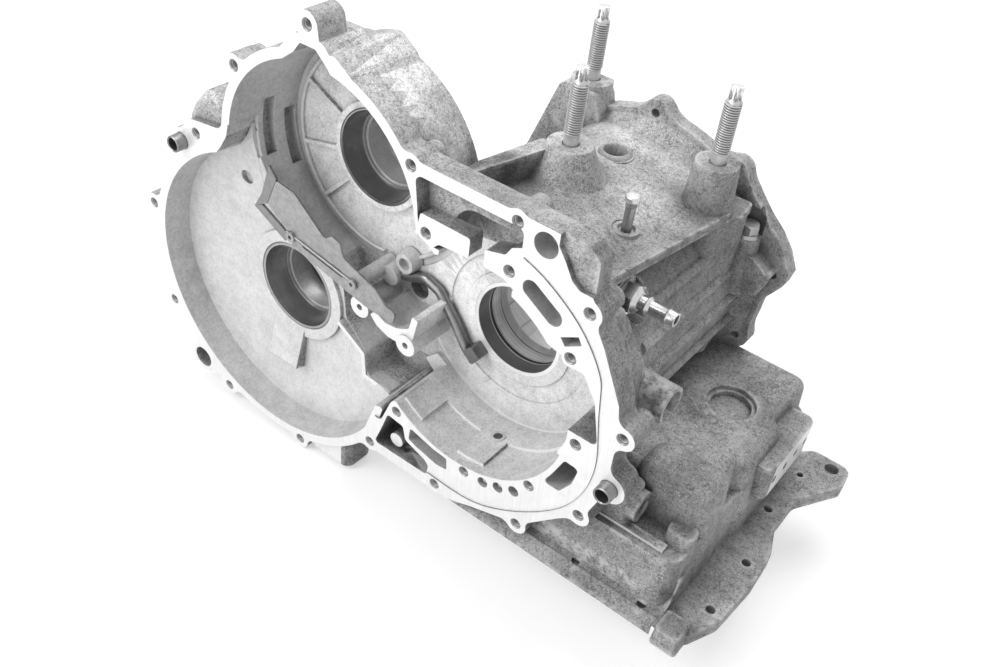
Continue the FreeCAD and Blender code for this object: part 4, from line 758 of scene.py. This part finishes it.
class NodeTree:
    """A Geometry Nodes tree with named inputs, baked to a plain mesh."""

    def __init__(self, name: str, sizes: dict[str, float]) -> None:
        """Start the tree.

        Args:
            name: tree name.
            sizes: named number inputs and their values.
        """
        self.tree = bpy.data.node_groups.new(name, "GeometryNodeTree")
        self.tree.interface.new_socket("Geometry", in_out="INPUT", socket_type="NodeSocketGeometry")
        self.sizes = {}
        for key, value in sizes.items():
            socket = self.tree.interface.new_socket(key, in_out="INPUT", socket_type="NodeSocketFloat")
            self.sizes[socket.identifier] = value
        self.tree.interface.new_socket("Geometry", in_out="OUTPUT", socket_type="NodeSocketGeometry")
        self.start = self.tree.nodes.new("NodeGroupInput")

    def add(self, kind: str, inputs: dict | None = None, **settings: object) -> bpy.types.Node:
        """Add one node, as Graph.add does."""
        return Graph.add(self, kind, inputs, **settings)

    def size(self, name: str) -> Socket:
        """Return the named input."""
        return self.start.outputs[name]

    def sweep(self, route: Socket, profile: Socket) -> Socket:
        """Return a closed body swept along a route."""
        values = {"Curve": route, "Profile Curve": profile, "Fill Caps": True}
        return self.add("GeometryNodeCurveToMesh", values).outputs[0]

    def thread(self, radius: Socket, height: Socket, pitch: float, crest: float, side: int,
               steps: int) -> Socket:
        """Return a helical ridge about the Z axis, with the tree's Pitch and Length.

        Args:
            radius: where the ridge stands.
            height: how high it stands.
            pitch: its pitch in millimetres.
            crest: width of its crest, in pitches.
            side: 1 where it points away from the axis, -1 towards it.
            steps: points in each turn.

        Returns:
            The ridge's geometry.
        """
        length = self.size("Length")
        turns = self.add("ShaderNodeMath", {0: length, 1: self.size("Pitch")}, operation="DIVIDE")
        helix = self.add("GeometryNodeCurveSpiral", {
            "Resolution": steps, "Rotations": turns.outputs[0], "Start Radius": radius,
            "End Radius": radius, "Height": length})
        ridge = self.add("GeometryNodeCurvePrimitiveQuadrilateral", {
            "Bottom Width": pitch * THREAD_FOOT * MM, "Top Width": pitch * crest * MM,
            "Height": height, "Offset": 0.0}, mode="TRAPEZOID")
        half = self.add("ShaderNodeMath", {0: height, 1: -0.5 * side}, operation="MULTIPLY")
        shift = self.add("ShaderNodeCombineXYZ", {0: half.outputs[0]})
        turned = self.add("GeometryNodeTransform", {
            "Geometry": ridge.outputs[0], "Translation": shift.outputs[0],
            "Rotation": (0.0, 0.0, side * math.pi / 2.0)})
        upright = self.add("GeometryNodeSetCurveNormal", {"Curve": helix.outputs[0]}, mode="Z_UP")
        return self.sweep(upright.outputs[0], turned.outputs[0])

    def bead(self, route: Socket, count: int, sides: int, radius: float) -> Socket:
        """Return a flattened round bead with the tree's Width and Height.

        Args:
            route: curve that it follows.
            count: points along the bead.
            sides: sides of its section.
            radius: radius of the section before it gets its width and height.

        Returns:
            The bead's geometry.
        """
        even = self.add("GeometryNodeResampleCurve", {"Curve": route, "Count": count})
        section = self.add("GeometryNodeCurvePrimitiveCircle", {"Resolution": sides, "Radius": radius})
        size = self.add("ShaderNodeCombineXYZ", {0: self.size("Width"), 1: self.size("Height"), 2: 1.0})
        flat = self.add("GeometryNodeTransform", {"Geometry": section.outputs[0], "Scale": size.outputs[0]})
        return self.sweep(even.outputs[0], flat.outputs[0])

    def bake(self, name: str, base: Mesh, result: Socket,
             material: Material) -> Mesh:
        """End the tree, run it and keep its mesh.

        Args:
            name: name of the new mesh.
            base: mesh that the tree starts from.
            result: geometry to keep.
            material: finish of the result.

        Returns:
            The plain mesh.
        """
        real = self.add("GeometryNodeRealizeInstances", {0: result})
        dressed = self.add("GeometryNodeSetMaterial", {"Geometry": real.outputs[0], "Material": material})
        end = self.tree.nodes.new("NodeGroupOutput")
        self.tree.links.new(dressed.outputs[0], end.inputs[0])
        carrier = linked(name + "_carrier", base)
        modifier = carrier.modifiers.new("shape", "NODES")
        modifier.node_group = self.tree
        for identifier, value in self.sizes.items():
            modifier[identifier] = value
        seen = carrier.evaluated_get(bpy.context.evaluated_depsgraph_get())
        mesh = bpy.data.meshes.new_from_object(seen)
        mesh.name = name
        carrier.modifiers.remove(modifier)
        bpy.data.objects.remove(carrier)
        return mesh


def points_mesh(name: str, places: Sequence[tuple[float, float, float]], joined: bool = False) -> Mesh:
    """Return a mesh of points, or of one line through them."""
    mesh = bpy.data.meshes.new(name)
    edges = [(i, i + 1) for i in range(len(places) - 1)] if joined else []
    mesh.from_pydata(places, edges, [])
    return mesh


def profile_mesh(name: str, outline: Sequence[tuple[float, float]], place: tuple[float, float, float],
                 steps: int = 48) -> Mesh:
    """Turn an outline of radius and height about a vertical line.

    Args:
        name: mesh name.
        outline: pairs of radius and height in millimetres, from the bottom up.
        place: the foot of the axis, in metres.
        steps: sides of the turned form.

    Returns:
        The closed mesh.
    """
    work = bmesh.new()
    join_rings(work, turned_rings(work, outline, place, steps))
    return finished(work, name, SHARP_TURNED)


def turned_ring(name: str, outline: Sequence[tuple[float, float]], place: Matrix, steps: int = 40) -> Mesh:
    """Turn a closed outline of radius and height about an upright line.

    Args:
        name: mesh name.
        outline: pairs of radius and height in millimetres, all away from the axis.
        place: where the ring goes.
        steps: sides of the ring.

    Returns:
        The closed mesh.
    """
    work = bmesh.new()
    join_rings(work, turned_rings(work, outline, (0.0, 0.0, 0.0), steps), True)
    bmesh.ops.recalc_face_normals(work, faces=work.faces)
    bmesh.ops.transform(work, matrix=place, verts=work.verts)
    return finished(work, name, SHARP_LIP)


def prism(name: str, outlines: Sequence[Sequence[tuple[float, float, float]]], thick: float) -> Mesh:
    """Make one flat plate from each outline, thickened towards +Y.

    Args:
        name: mesh name.
        outlines: corners as x, depth from the mating face, and z, in millimetres.
        thick: thickness in millimetres.

    Returns:
        The closed plates as one mesh.
    """
    work = bmesh.new()
    for outline in outlines:
        front = [work.verts.new(in_frame(x, y, z)) for x, y, z in outline]
        back = [work.verts.new(in_frame(x, y + thick, z)) for x, y, z in outline]
        work.faces.new(front)
        work.faces.new(list(reversed(back)))
        for i in range(len(front)):
            j = (i + 1) % len(front)
            work.faces.new((front[j], front[i], back[i], back[j]))
    bmesh.ops.recalc_face_normals(work, faces=work.faces)
    bmesh.ops.triangulate(work, faces=[face for face in work.faces if len(face.verts) > 4])
    return finished(work, name)


@dataclass
class MountStuds:
    """Three threaded studs with a plain neck and a six-lobe end."""

    places: tuple = ((-16.8, 121.0), (-62.5, 216.0), (66.5, 176.0))
    seat: float = 118.0
    sunk: float = 26.0
    neck: float = 125.0
    thread_end: float = 163.0
    top: float = 174.0
    radius: float = 6.0
    root: float = 5.25
    pitch: float = 1.75
    bite: float = 0.1
    lobe_radius: float = 4.05
    lobe_height: float = 0.62

    def core(self) -> list[tuple[float, float]]:
        """Return the outline of a stud's turned parts, as radius and height."""
        return [(5.4, self.seat - self.sunk), (5.4, self.neck), (self.root, self.neck + 0.6),
                (self.root, self.thread_end), (self.root - 0.1, self.thread_end + 0.3),
                (4.2, self.thread_end + 2.0), (3.6, self.thread_end + 2.4), (3.6, self.top - 0.9),
                (3.0, self.top - 0.4)]

    def lobes(self, x: float, y: float) -> Mesh:
        """Return the six-lobe drive of one stud."""
        work = bmesh.new()
        rings = []
        for height, shrink in ((self.thread_end + 1.6, 1.0), (self.top - 0.7, 1.0), (self.top, 0.86)):
            ring = []
            for i in range(LOBE_STEPS):
                turn = 2 * math.pi * i / LOBE_STEPS
                reach = (self.lobe_radius + self.lobe_height * math.cos(6 * turn)) * shrink * MM
                place = (x + reach * math.cos(turn), y + reach * math.sin(turn), height * MM)
                ring.append(work.verts.new(place))
            rings.append(ring)
        join_rings(work, rings)
        return finished(work, "stud_drive", SHARP_TURNED)

    def threads(self, material: Material) -> Mesh:
        """Return the helical threads of all the studs."""
        length = (self.thread_end - self.neck - 1.2) * MM
        places = points_mesh("stud_places", [in_frame(x, y, self.neck + 0.9) for x, y in self.places])
        tree = NodeTree("stud_thread", {"Root": self.root * MM, "Crest": self.radius * MM,
                                        "Pitch": self.pitch * MM, "Length": length})
        foot = tree.add("ShaderNodeMath", {0: tree.size("Root"), 1: -self.bite * MM}, operation="ADD")
        tall = tree.add("ShaderNodeMath", {0: tree.size("Crest"), 1: foot.outputs[0]}, operation="SUBTRACT")
        ridge = tree.thread(foot.outputs[0], tall.outputs[0], self.pitch, 0.16, 1, 40)
        put = tree.add("GeometryNodeInstanceOnPoints", {"Points": tree.start.outputs[0], "Instance": ridge})
        return tree.bake("stud_threads", places, put.outputs[0], material)

    def build(self) -> None:
        """Build the studs in place of the plain ones."""
        dull = SteelSkin("stud_steel", 0.66, 0.36, 0.6, 0.10).material()
        bright = SteelSkin("stud_drive_steel", 0.85, 0.24, 0.9, 0.05).material()
        work = bmesh.new()
        drives = bmesh.new()
        for x, y in self.places:
            foot = in_frame(x, y, 0.0)
            work.from_mesh(profile_mesh("stud_core", self.core(), foot))
            drives.from_mesh(self.lobes(*foot[:2]))
        work.from_mesh(self.threads(dull))
        cores = finished(work, "mount_stud_bodies")
        ends = finished(drives, "mount_stud_drives")
        new_piece("mount_stud_bodies", cores, [dull], ("mount_studs",))
        new_piece("mount_stud_drives", ends, [bright])


@dataclass
class TappedHoles:
    """The threads of the tapped holes in the mating face."""

    right: tuple = (
        (27.6, 132.0), (-53.9, 133.0), (84.1, 96.7), (122.1, 21.7), (104.6, -61.3), (59.1, -106.3),
        (-14.9, -121.0), (-79.9, -122.0),
    )
    inner: tuple = (
        (-38.9, 91.2), (26.1, 96.2), (77.1, 58.7), (92.1, -3.8), (64.1, -63.3), (10.1, -89.3), (-54.9, -73.8),
    )
    differential_rim: tuple = (
        (-76.4, 130.0), (-114.6, 132.9), (-152.3, 134.2), (167.4, 133.6), (120.7, 135.8),
    )
    idler_rim: tuple = ((142.2, 97.3), (93.8, 111.9))
    radius: float = 3.4
    crest: float = 0.5
    pitch: float = 1.25
    start: float = 1.4
    depth: float = 18.0

    def places(self) -> list[tuple[float, float]]:
        """Return the centres of all the holes in millimetres."""
        found = list(self.right) + list(self.inner)
        for axis, rim in ((DIFFERENTIAL_AXIS, self.differential_rim), (IDLER_AXIS, self.idler_rim)):
            for angle, reach in rim:
                turn = math.radians(angle)
                found.append((axis[0] / MM + reach * math.cos(turn), axis[1] / MM + reach * math.sin(turn)))
        return found

    def build(self) -> None:
        """Lay a helical thread in each hole."""
        skin = CutSkin("thread_metal", 0.58, 0.05, 1.0, None, 0.34, 0.5, 0.15).material()
        points = points_mesh("hole_places", [in_frame(x, self.start, z) for x, z in self.places()])
        tree = NodeTree("hole_thread", {"Radius": (self.radius + 0.02) * MM, "Crest": self.crest * MM,
                                        "Pitch": self.pitch * MM, "Length": (self.depth - self.start) * MM})
        ridge = tree.thread(tree.size("Radius"), tree.size("Crest"), self.pitch, 0.20, -1, 20)
        lay = tree.add("GeometryNodeTransform", {"Geometry": ridge, "Rotation": (-math.pi / 2.0, 0.0, 0.0)})
        put = tree.add("GeometryNodeInstanceOnPoints", {
            "Points": tree.start.outputs[0], "Instance": lay.outputs[0]})
        mesh = tree.bake("hole_threads", points, put.outputs[0], skin)
        new_piece("hole_threads", mesh, [skin])


@dataclass
class BaffleBead:
    """The pressed bead along the stamped oil plate, with its round ends."""

    route: tuple = ((-186.5, 10.2), (-181.5, 9.4), (-150.0, 4.2), (-118.8, -1.0), (-114.5, -3.6))
    front: float = 20.0
    width: float = 1.5
    height: float = 1.3

    def build(self) -> None:
        """Sweep the bead over the plate."""
        skin = SteelSkin("bead_steel", 0.30, 0.38, 0.8, 0.14).material()
        line = points_mesh("bead_route", [in_frame(x, self.front, z) for x, z in self.route], True)
        tree = NodeTree("bead_sweep", {"Width": self.width * MM, "Height": self.height * MM})
        curve = tree.add("GeometryNodeMeshToCurve", {0: tree.start.outputs[0]})
        mesh = tree.bake("baffle_bead", line, tree.bead(curve.outputs[0], 90, 12, 1.0), skin)
        new_piece("baffle_bead", mesh, [skin])


@dataclass
class WallPlug:
    """The small sunk plug in the wall of the main gear chamber, under its lip."""

    place: tuple = (11.0, 38.0, -81.6)
    radius: float = 4.4

    def build(self) -> None:
        """Turn the lip and the dark plug, facing the main axis."""
        x, y, z = self.place
        turn = Vector((-x, 0.0, -z)).to_track_quat("Z", "Y").to_matrix().to_4x4()
        place = Matrix.Translation(Vector(in_frame(x, y, z))) @ turn
        r = self.radius
        lip = [(r - 0.9, -0.5), (r - 0.9, 1.0), (r, 1.3), (r + 0.9, 0.9), (r + 1.1, -0.5)]
        skin = CastSkin("lip_casting", 0.40, 0.70, 0.4, 0.2, 0.3, 0.5, 0.3, 0.3).material()
        new_piece("wall_plug_lip", turned_ring("wall_plug_lip", lip, place, 32), [skin])
        outline = ((3.7, -0.6), (3.7, 0.25), (3.2, 0.4), (1.6, 0.15), (1.2, 0.05))
        plug = profile_mesh("wall_plug", outline, (0.0, 0.0, 0.0), 32)
        plug.transform(place)
        dark = SteelSkin("wall_plug_steel", 0.12, 0.45, 0.6).material()
        new_piece("wall_plug", plug, [dark])


@dataclass
class DeckLips:
    """The cast lips on the deck: round the breather tube's foot and round the blind hole."""

    vent: tuple = (47.0, 100.0)
    blind: tuple = (-6.5, 167.0)

    def build(self) -> None:
        """Turn both lips."""
        skin = CastSkin("lip_skin", 0.24, 0.62, 0.5, 0.3, 0.4, 0.6, 0.5, 0.3).material()
        shapes = (
            ("vent_lip", self.vent, [(3.6, 86.0), (3.6, 88.6), (5.4, 88.6), (6.2, 90.4), (8.2, 90.6),
                                     (9.4, 90.2), (9.8, 86.0)]),
            ("blind_hole_lip", self.blind, [(8.2, 90.0), (8.2, 98.6), (9.2, 99.6), (10.8, 99.4), (12.4, 97.8),
                                            (13.4, 95.0), (13.4, 92.0)]),
        )
        for name, (x, y), outline in shapes:
            place = Matrix.Translation(Vector(in_frame(x, y, 0.0)))
            new_piece(name, turned_ring(name, outline, place), [skin])


@dataclass
class VentCap:
    """The flat cap crimped on the breather tube."""

    place: tuple = (47.0, 100.0)
    outline: tuple = (
        (3.55, 107.4), (3.95, 107.4), (3.95, 110.8), (4.9, 111.3), (5.15, 111.9), (5.15, 114.4), (4.6, 115.5),
        (3.2, 115.95), (1.2, 116.0),
    )

    def build(self) -> None:
        """Turn the cap in place of the plain one."""
        mesh = profile_mesh("vent_cap_turned", self.outline, in_frame(*self.place, 0.0))
        skin = SteelSkin("vent_cap_steel", 0.86, 0.24, 0.7).material()
        new_piece("vent_cap_turned", mesh, [skin], ("vent_cap",))


@dataclass
class JunctionWeb:
    """The pointed end of the dish floor, where it meets the transfer gear pocket's wall."""

    outline: tuple = (
        (-222.1, 84.6), (-222.1, 71.4), (-219.5, 56.8), (-218.4, 42.7), (-217.1, 30.9), (-225.5, 29.0),
        (-227.8, 46.0), (-243.0, 53.0), (-241.1, 57.1), (-234.2, 64.8), (-228.6, 71.9), (-224.4, 79.8),
    )
    lift: float = 0.2
    thick: float = 3.0
    rim: float = 119.0
    rim_depth: float = 23.0
    fall: float = 9.0
    run: float = 67.5

    def depth(self, x: float, z: float) -> float:
        """Return the depth of the coned dish floor at a place."""
        away = math.hypot(x - DIFFERENTIAL_AXIS[0] / MM, z - DIFFERENTIAL_AXIS[1] / MM)
        return self.rim_depth + self.fall * max(0.0, self.rim - away) / self.run - self.lift

    def build(self) -> None:
        """Lay the web over the floor."""
        corners = [(x, self.depth(x, z), z) for x, z in self.outline]
        skin = CastSkin("web_casting", 0.58, 0.80, 0.20, 0.18, 0.10, 0.5, 0.4, 0.3).material()
        new_piece("junction_web", prism("junction_web", [corners], self.thick), [skin])


@dataclass
class BaffleFolds:
    """The turned edges of the stamped oil plate at its upper end."""

    depth: float = 19.6
    thick: float = 2.2
    ear: tuple = ((-220.4, 17.3), (-212.0, 31.8), (-203.1, 59.1), (-195.7, 50.9), (-206.9, 25.2))
    edge: tuple = ((-220.4, 17.3), (-213.1, 22.1), (-182.8, 7.4), (-188.3, 0.9))

    def build(self) -> None:
        """Cut both folds."""
        outlines = [[(x, self.depth, z) for x, z in fold] for fold in (self.ear, self.edge)]
        skin = SteelSkin("fold_steel", 0.30, 0.42, 0.6, 0.16).material()
        new_piece("baffle_folds", prism("baffle_folds", outlines, self.thick), [skin])


@dataclass
class SealantLine:
    """The set sealant that follows the rim of the main pocket on the mating face."""

    route: tuple = (
        (35, 111), (48, 107), (62, 99), (76, 89), (86, 79), (94, 68), (100, 57), (101.5, 50), (103.5, 29),
        (106, 14), (110, -8), (107, -34), (97, -57), (84, -73), (62, -92), (39, -106), (22, -113), (4, -115),
        (-22, -113.5),
    )
    width: float = 1.9
    height: float = 0.3

    def build(self) -> None:
        """Sweep the line along the face."""
        skin = RubberSkin("set_sealant", 0.20, 0.45).material()
        line = points_mesh("sealant_route", [in_frame(x, 0.0, z) for x, z in self.route], True)
        tree = NodeTree("sealant_sweep", {"Width": self.width * MM, "Height": self.height * MM})
        curve = tree.add("GeometryNodeMeshToCurve", {0: tree.start.outputs[0]})
        smooth = tree.add("GeometryNodeCurveSplineType", {"Curve": curve.outputs[0]}, spline_type="NURBS")
        mesh = tree.bake("sealant_line", line, tree.bead(smooth.outputs[0], 160, 10, 0.5), skin)
        new_piece("sealant_line", mesh, [skin])


def seen_rays(tree: bpy.types.NodeTree) -> Socket:
    """Return 1 for what the camera sees: straight, through glass or in a reflection."""
    path = tree.nodes.new("ShaderNodeLightPath")
    seen = path.outputs["Is Camera Ray"]
    for ray in ("Is Transmission Ray", "Is Glossy Ray"):
        either = tree.nodes.new("ShaderNodeMath")
        either.operation = "MAXIMUM"
        tree.links.new(seen, either.inputs[0])
        tree.links.new(path.outputs[ray], either.inputs[1])
        seen = either.outputs[0]
    return seen


@dataclass
class Studio:
    """Camera, lamps and the white floor, in metres."""

    lens: float = 37.44
    sensor: float = 36.0
    near: float = 0.02
    stand: tuple = (0.2979, -0.480, 0.4575)
    right: tuple = (0.786, 0.609, 0.101)
    ahead: tuple = (-0.421, 0.649, -0.633)
    aim: tuple = (-0.05, 0.05, 0.0)
    lamps: tuple = (
        ("key_lamp", (-0.9, -1.3, 1.4), 1.0, 19.5), ("front_lamp", (-0.1, -1.8, 0.4), 1.2, 10.5),
        ("top_lamp", (-0.1, 0.8, 1.8), 1.2, 18.0),
    )
    room_level: float = 0.41
    floor_tone: float = 0.75
    floor_lift: float = 0.45

    def camera(self) -> None:
        """Set the camera at the photograph's viewing angle."""
        data = bpy.data.cameras.new("camera")
        data.lens = self.lens
        data.sensor_width = self.sensor
        data.clip_start = self.near
        camera = linked("camera", data)
        ahead = Vector(self.ahead).normalized()
        up = Vector(self.right).normalized().cross(ahead).normalized()
        right = ahead.cross(up).normalized()
        turn = Matrix((right, up, -ahead)).transposed().to_4x4()
        camera.matrix_world = Matrix.Translation(Vector(self.stand)) @ turn
        bpy.context.scene.camera = camera

    def lamp(self, name: str, place: Sequence[float], size: float, power: float) -> None:
        """Hang one square lamp that looks at the case."""
        data = bpy.data.lights.new(name, "AREA")
        data.size = size
        data.energy = power
        lamp = linked(name, data)
        lamp.location = place
        lamp.rotation_euler = (Vector(self.aim) - Vector(place)).to_track_quat("-Z", "Y").to_euler()

    def world(self) -> None:
        """Fill the room with soft pale light."""
        world = bpy.data.worlds.new("room")
        world.use_nodes = True
        tree = world.node_tree
        tree.nodes.clear()
        level = tree.nodes.new("ShaderNodeMapRange")
        level.inputs["To Min"].default_value = self.room_level
        level.inputs["To Max"].default_value = 1.0
        tree.links.new(seen_rays(tree), level.inputs["Value"])
        room = tree.nodes.new("ShaderNodeBackground")
        room.inputs["Color"].default_value = (1.0, 1.0, 1.0, 1.0)
        tree.links.new(level.outputs["Result"], room.inputs["Strength"])
        output = tree.nodes.new("ShaderNodeOutputWorld")
        tree.links.new(room.outputs[0], output.inputs["Surface"])
        bpy.context.scene.world = world

    def floor(self) -> None:
        """Lay the white floor, which keeps the case's shadow."""
        g = Graph("white_floor")
        lift = g.math("MULTIPLY", seen_rays(g.tree), self.floor_lift)
        glow = g.add("ShaderNodeEmission", {"Color": grey(1.0), "Strength": lift})
        matt = g.add("ShaderNodeBsdfDiffuse", {"Color": grey(self.floor_tone)})
        both = g.add("ShaderNodeAddShader", {0: glow.outputs[0], 1: matt.outputs[0]})
        output = g.add("ShaderNodeOutputMaterial")
        g.tree.links.new(both.outputs[0], output.inputs["Surface"])
        mesh = bpy.data.meshes.new("floor")
        ends = ((-1, -1), (1, -1), (1, 1), (-1, 1))
        mesh.from_pydata([(x * FLOOR_REACH, y * FLOOR_REACH, FLOOR_Z) for x, y in ends], [], [(0, 1, 2, 3)])
        mesh.materials.append(g.material)
        linked("floor", mesh)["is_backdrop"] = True

    def build(self) -> None:
        """Set up the whole studio."""
        self.camera()
        self.world()
        for lamp in self.lamps:
            self.lamp(*lamp)
        self.floor()
        bpy.context.scene.view_settings.view_transform = "Standard"


def plain(bounds: Sequence[Sequence[float]]) -> list[list[float]]:
    """Return a box as plain lists of numbers."""
    return [[float(value) for value in corner] for corner in bounds]


def main(frame: dict, solid_box: list[list[float]]) -> None:
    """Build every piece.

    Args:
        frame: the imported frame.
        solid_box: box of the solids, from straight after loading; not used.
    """
    logging.basicConfig(level=logging.INFO, format="%(message)s")
    holes = TappedHoles()
    CaseCasting(holes=tuple(holes.places())).build(frame["nodes"]["transaxle_case"])
    CarriedPieces().dress(frame["nodes"])
    MainSleeve().build(frame["nodes"]["main_bore_sleeve"])
    BaffleBead().build()
    WallPlug().build()
    MountStuds().build()
    holes.build()
    DeckLips().build()
    VentCap().build()
    JunctionWeb().build()
    BaffleFolds().build()
    SealantLine().build()
    Studio().build()


if __name__ == "__main__":
    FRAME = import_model()
    main(FRAME, plain(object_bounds()))
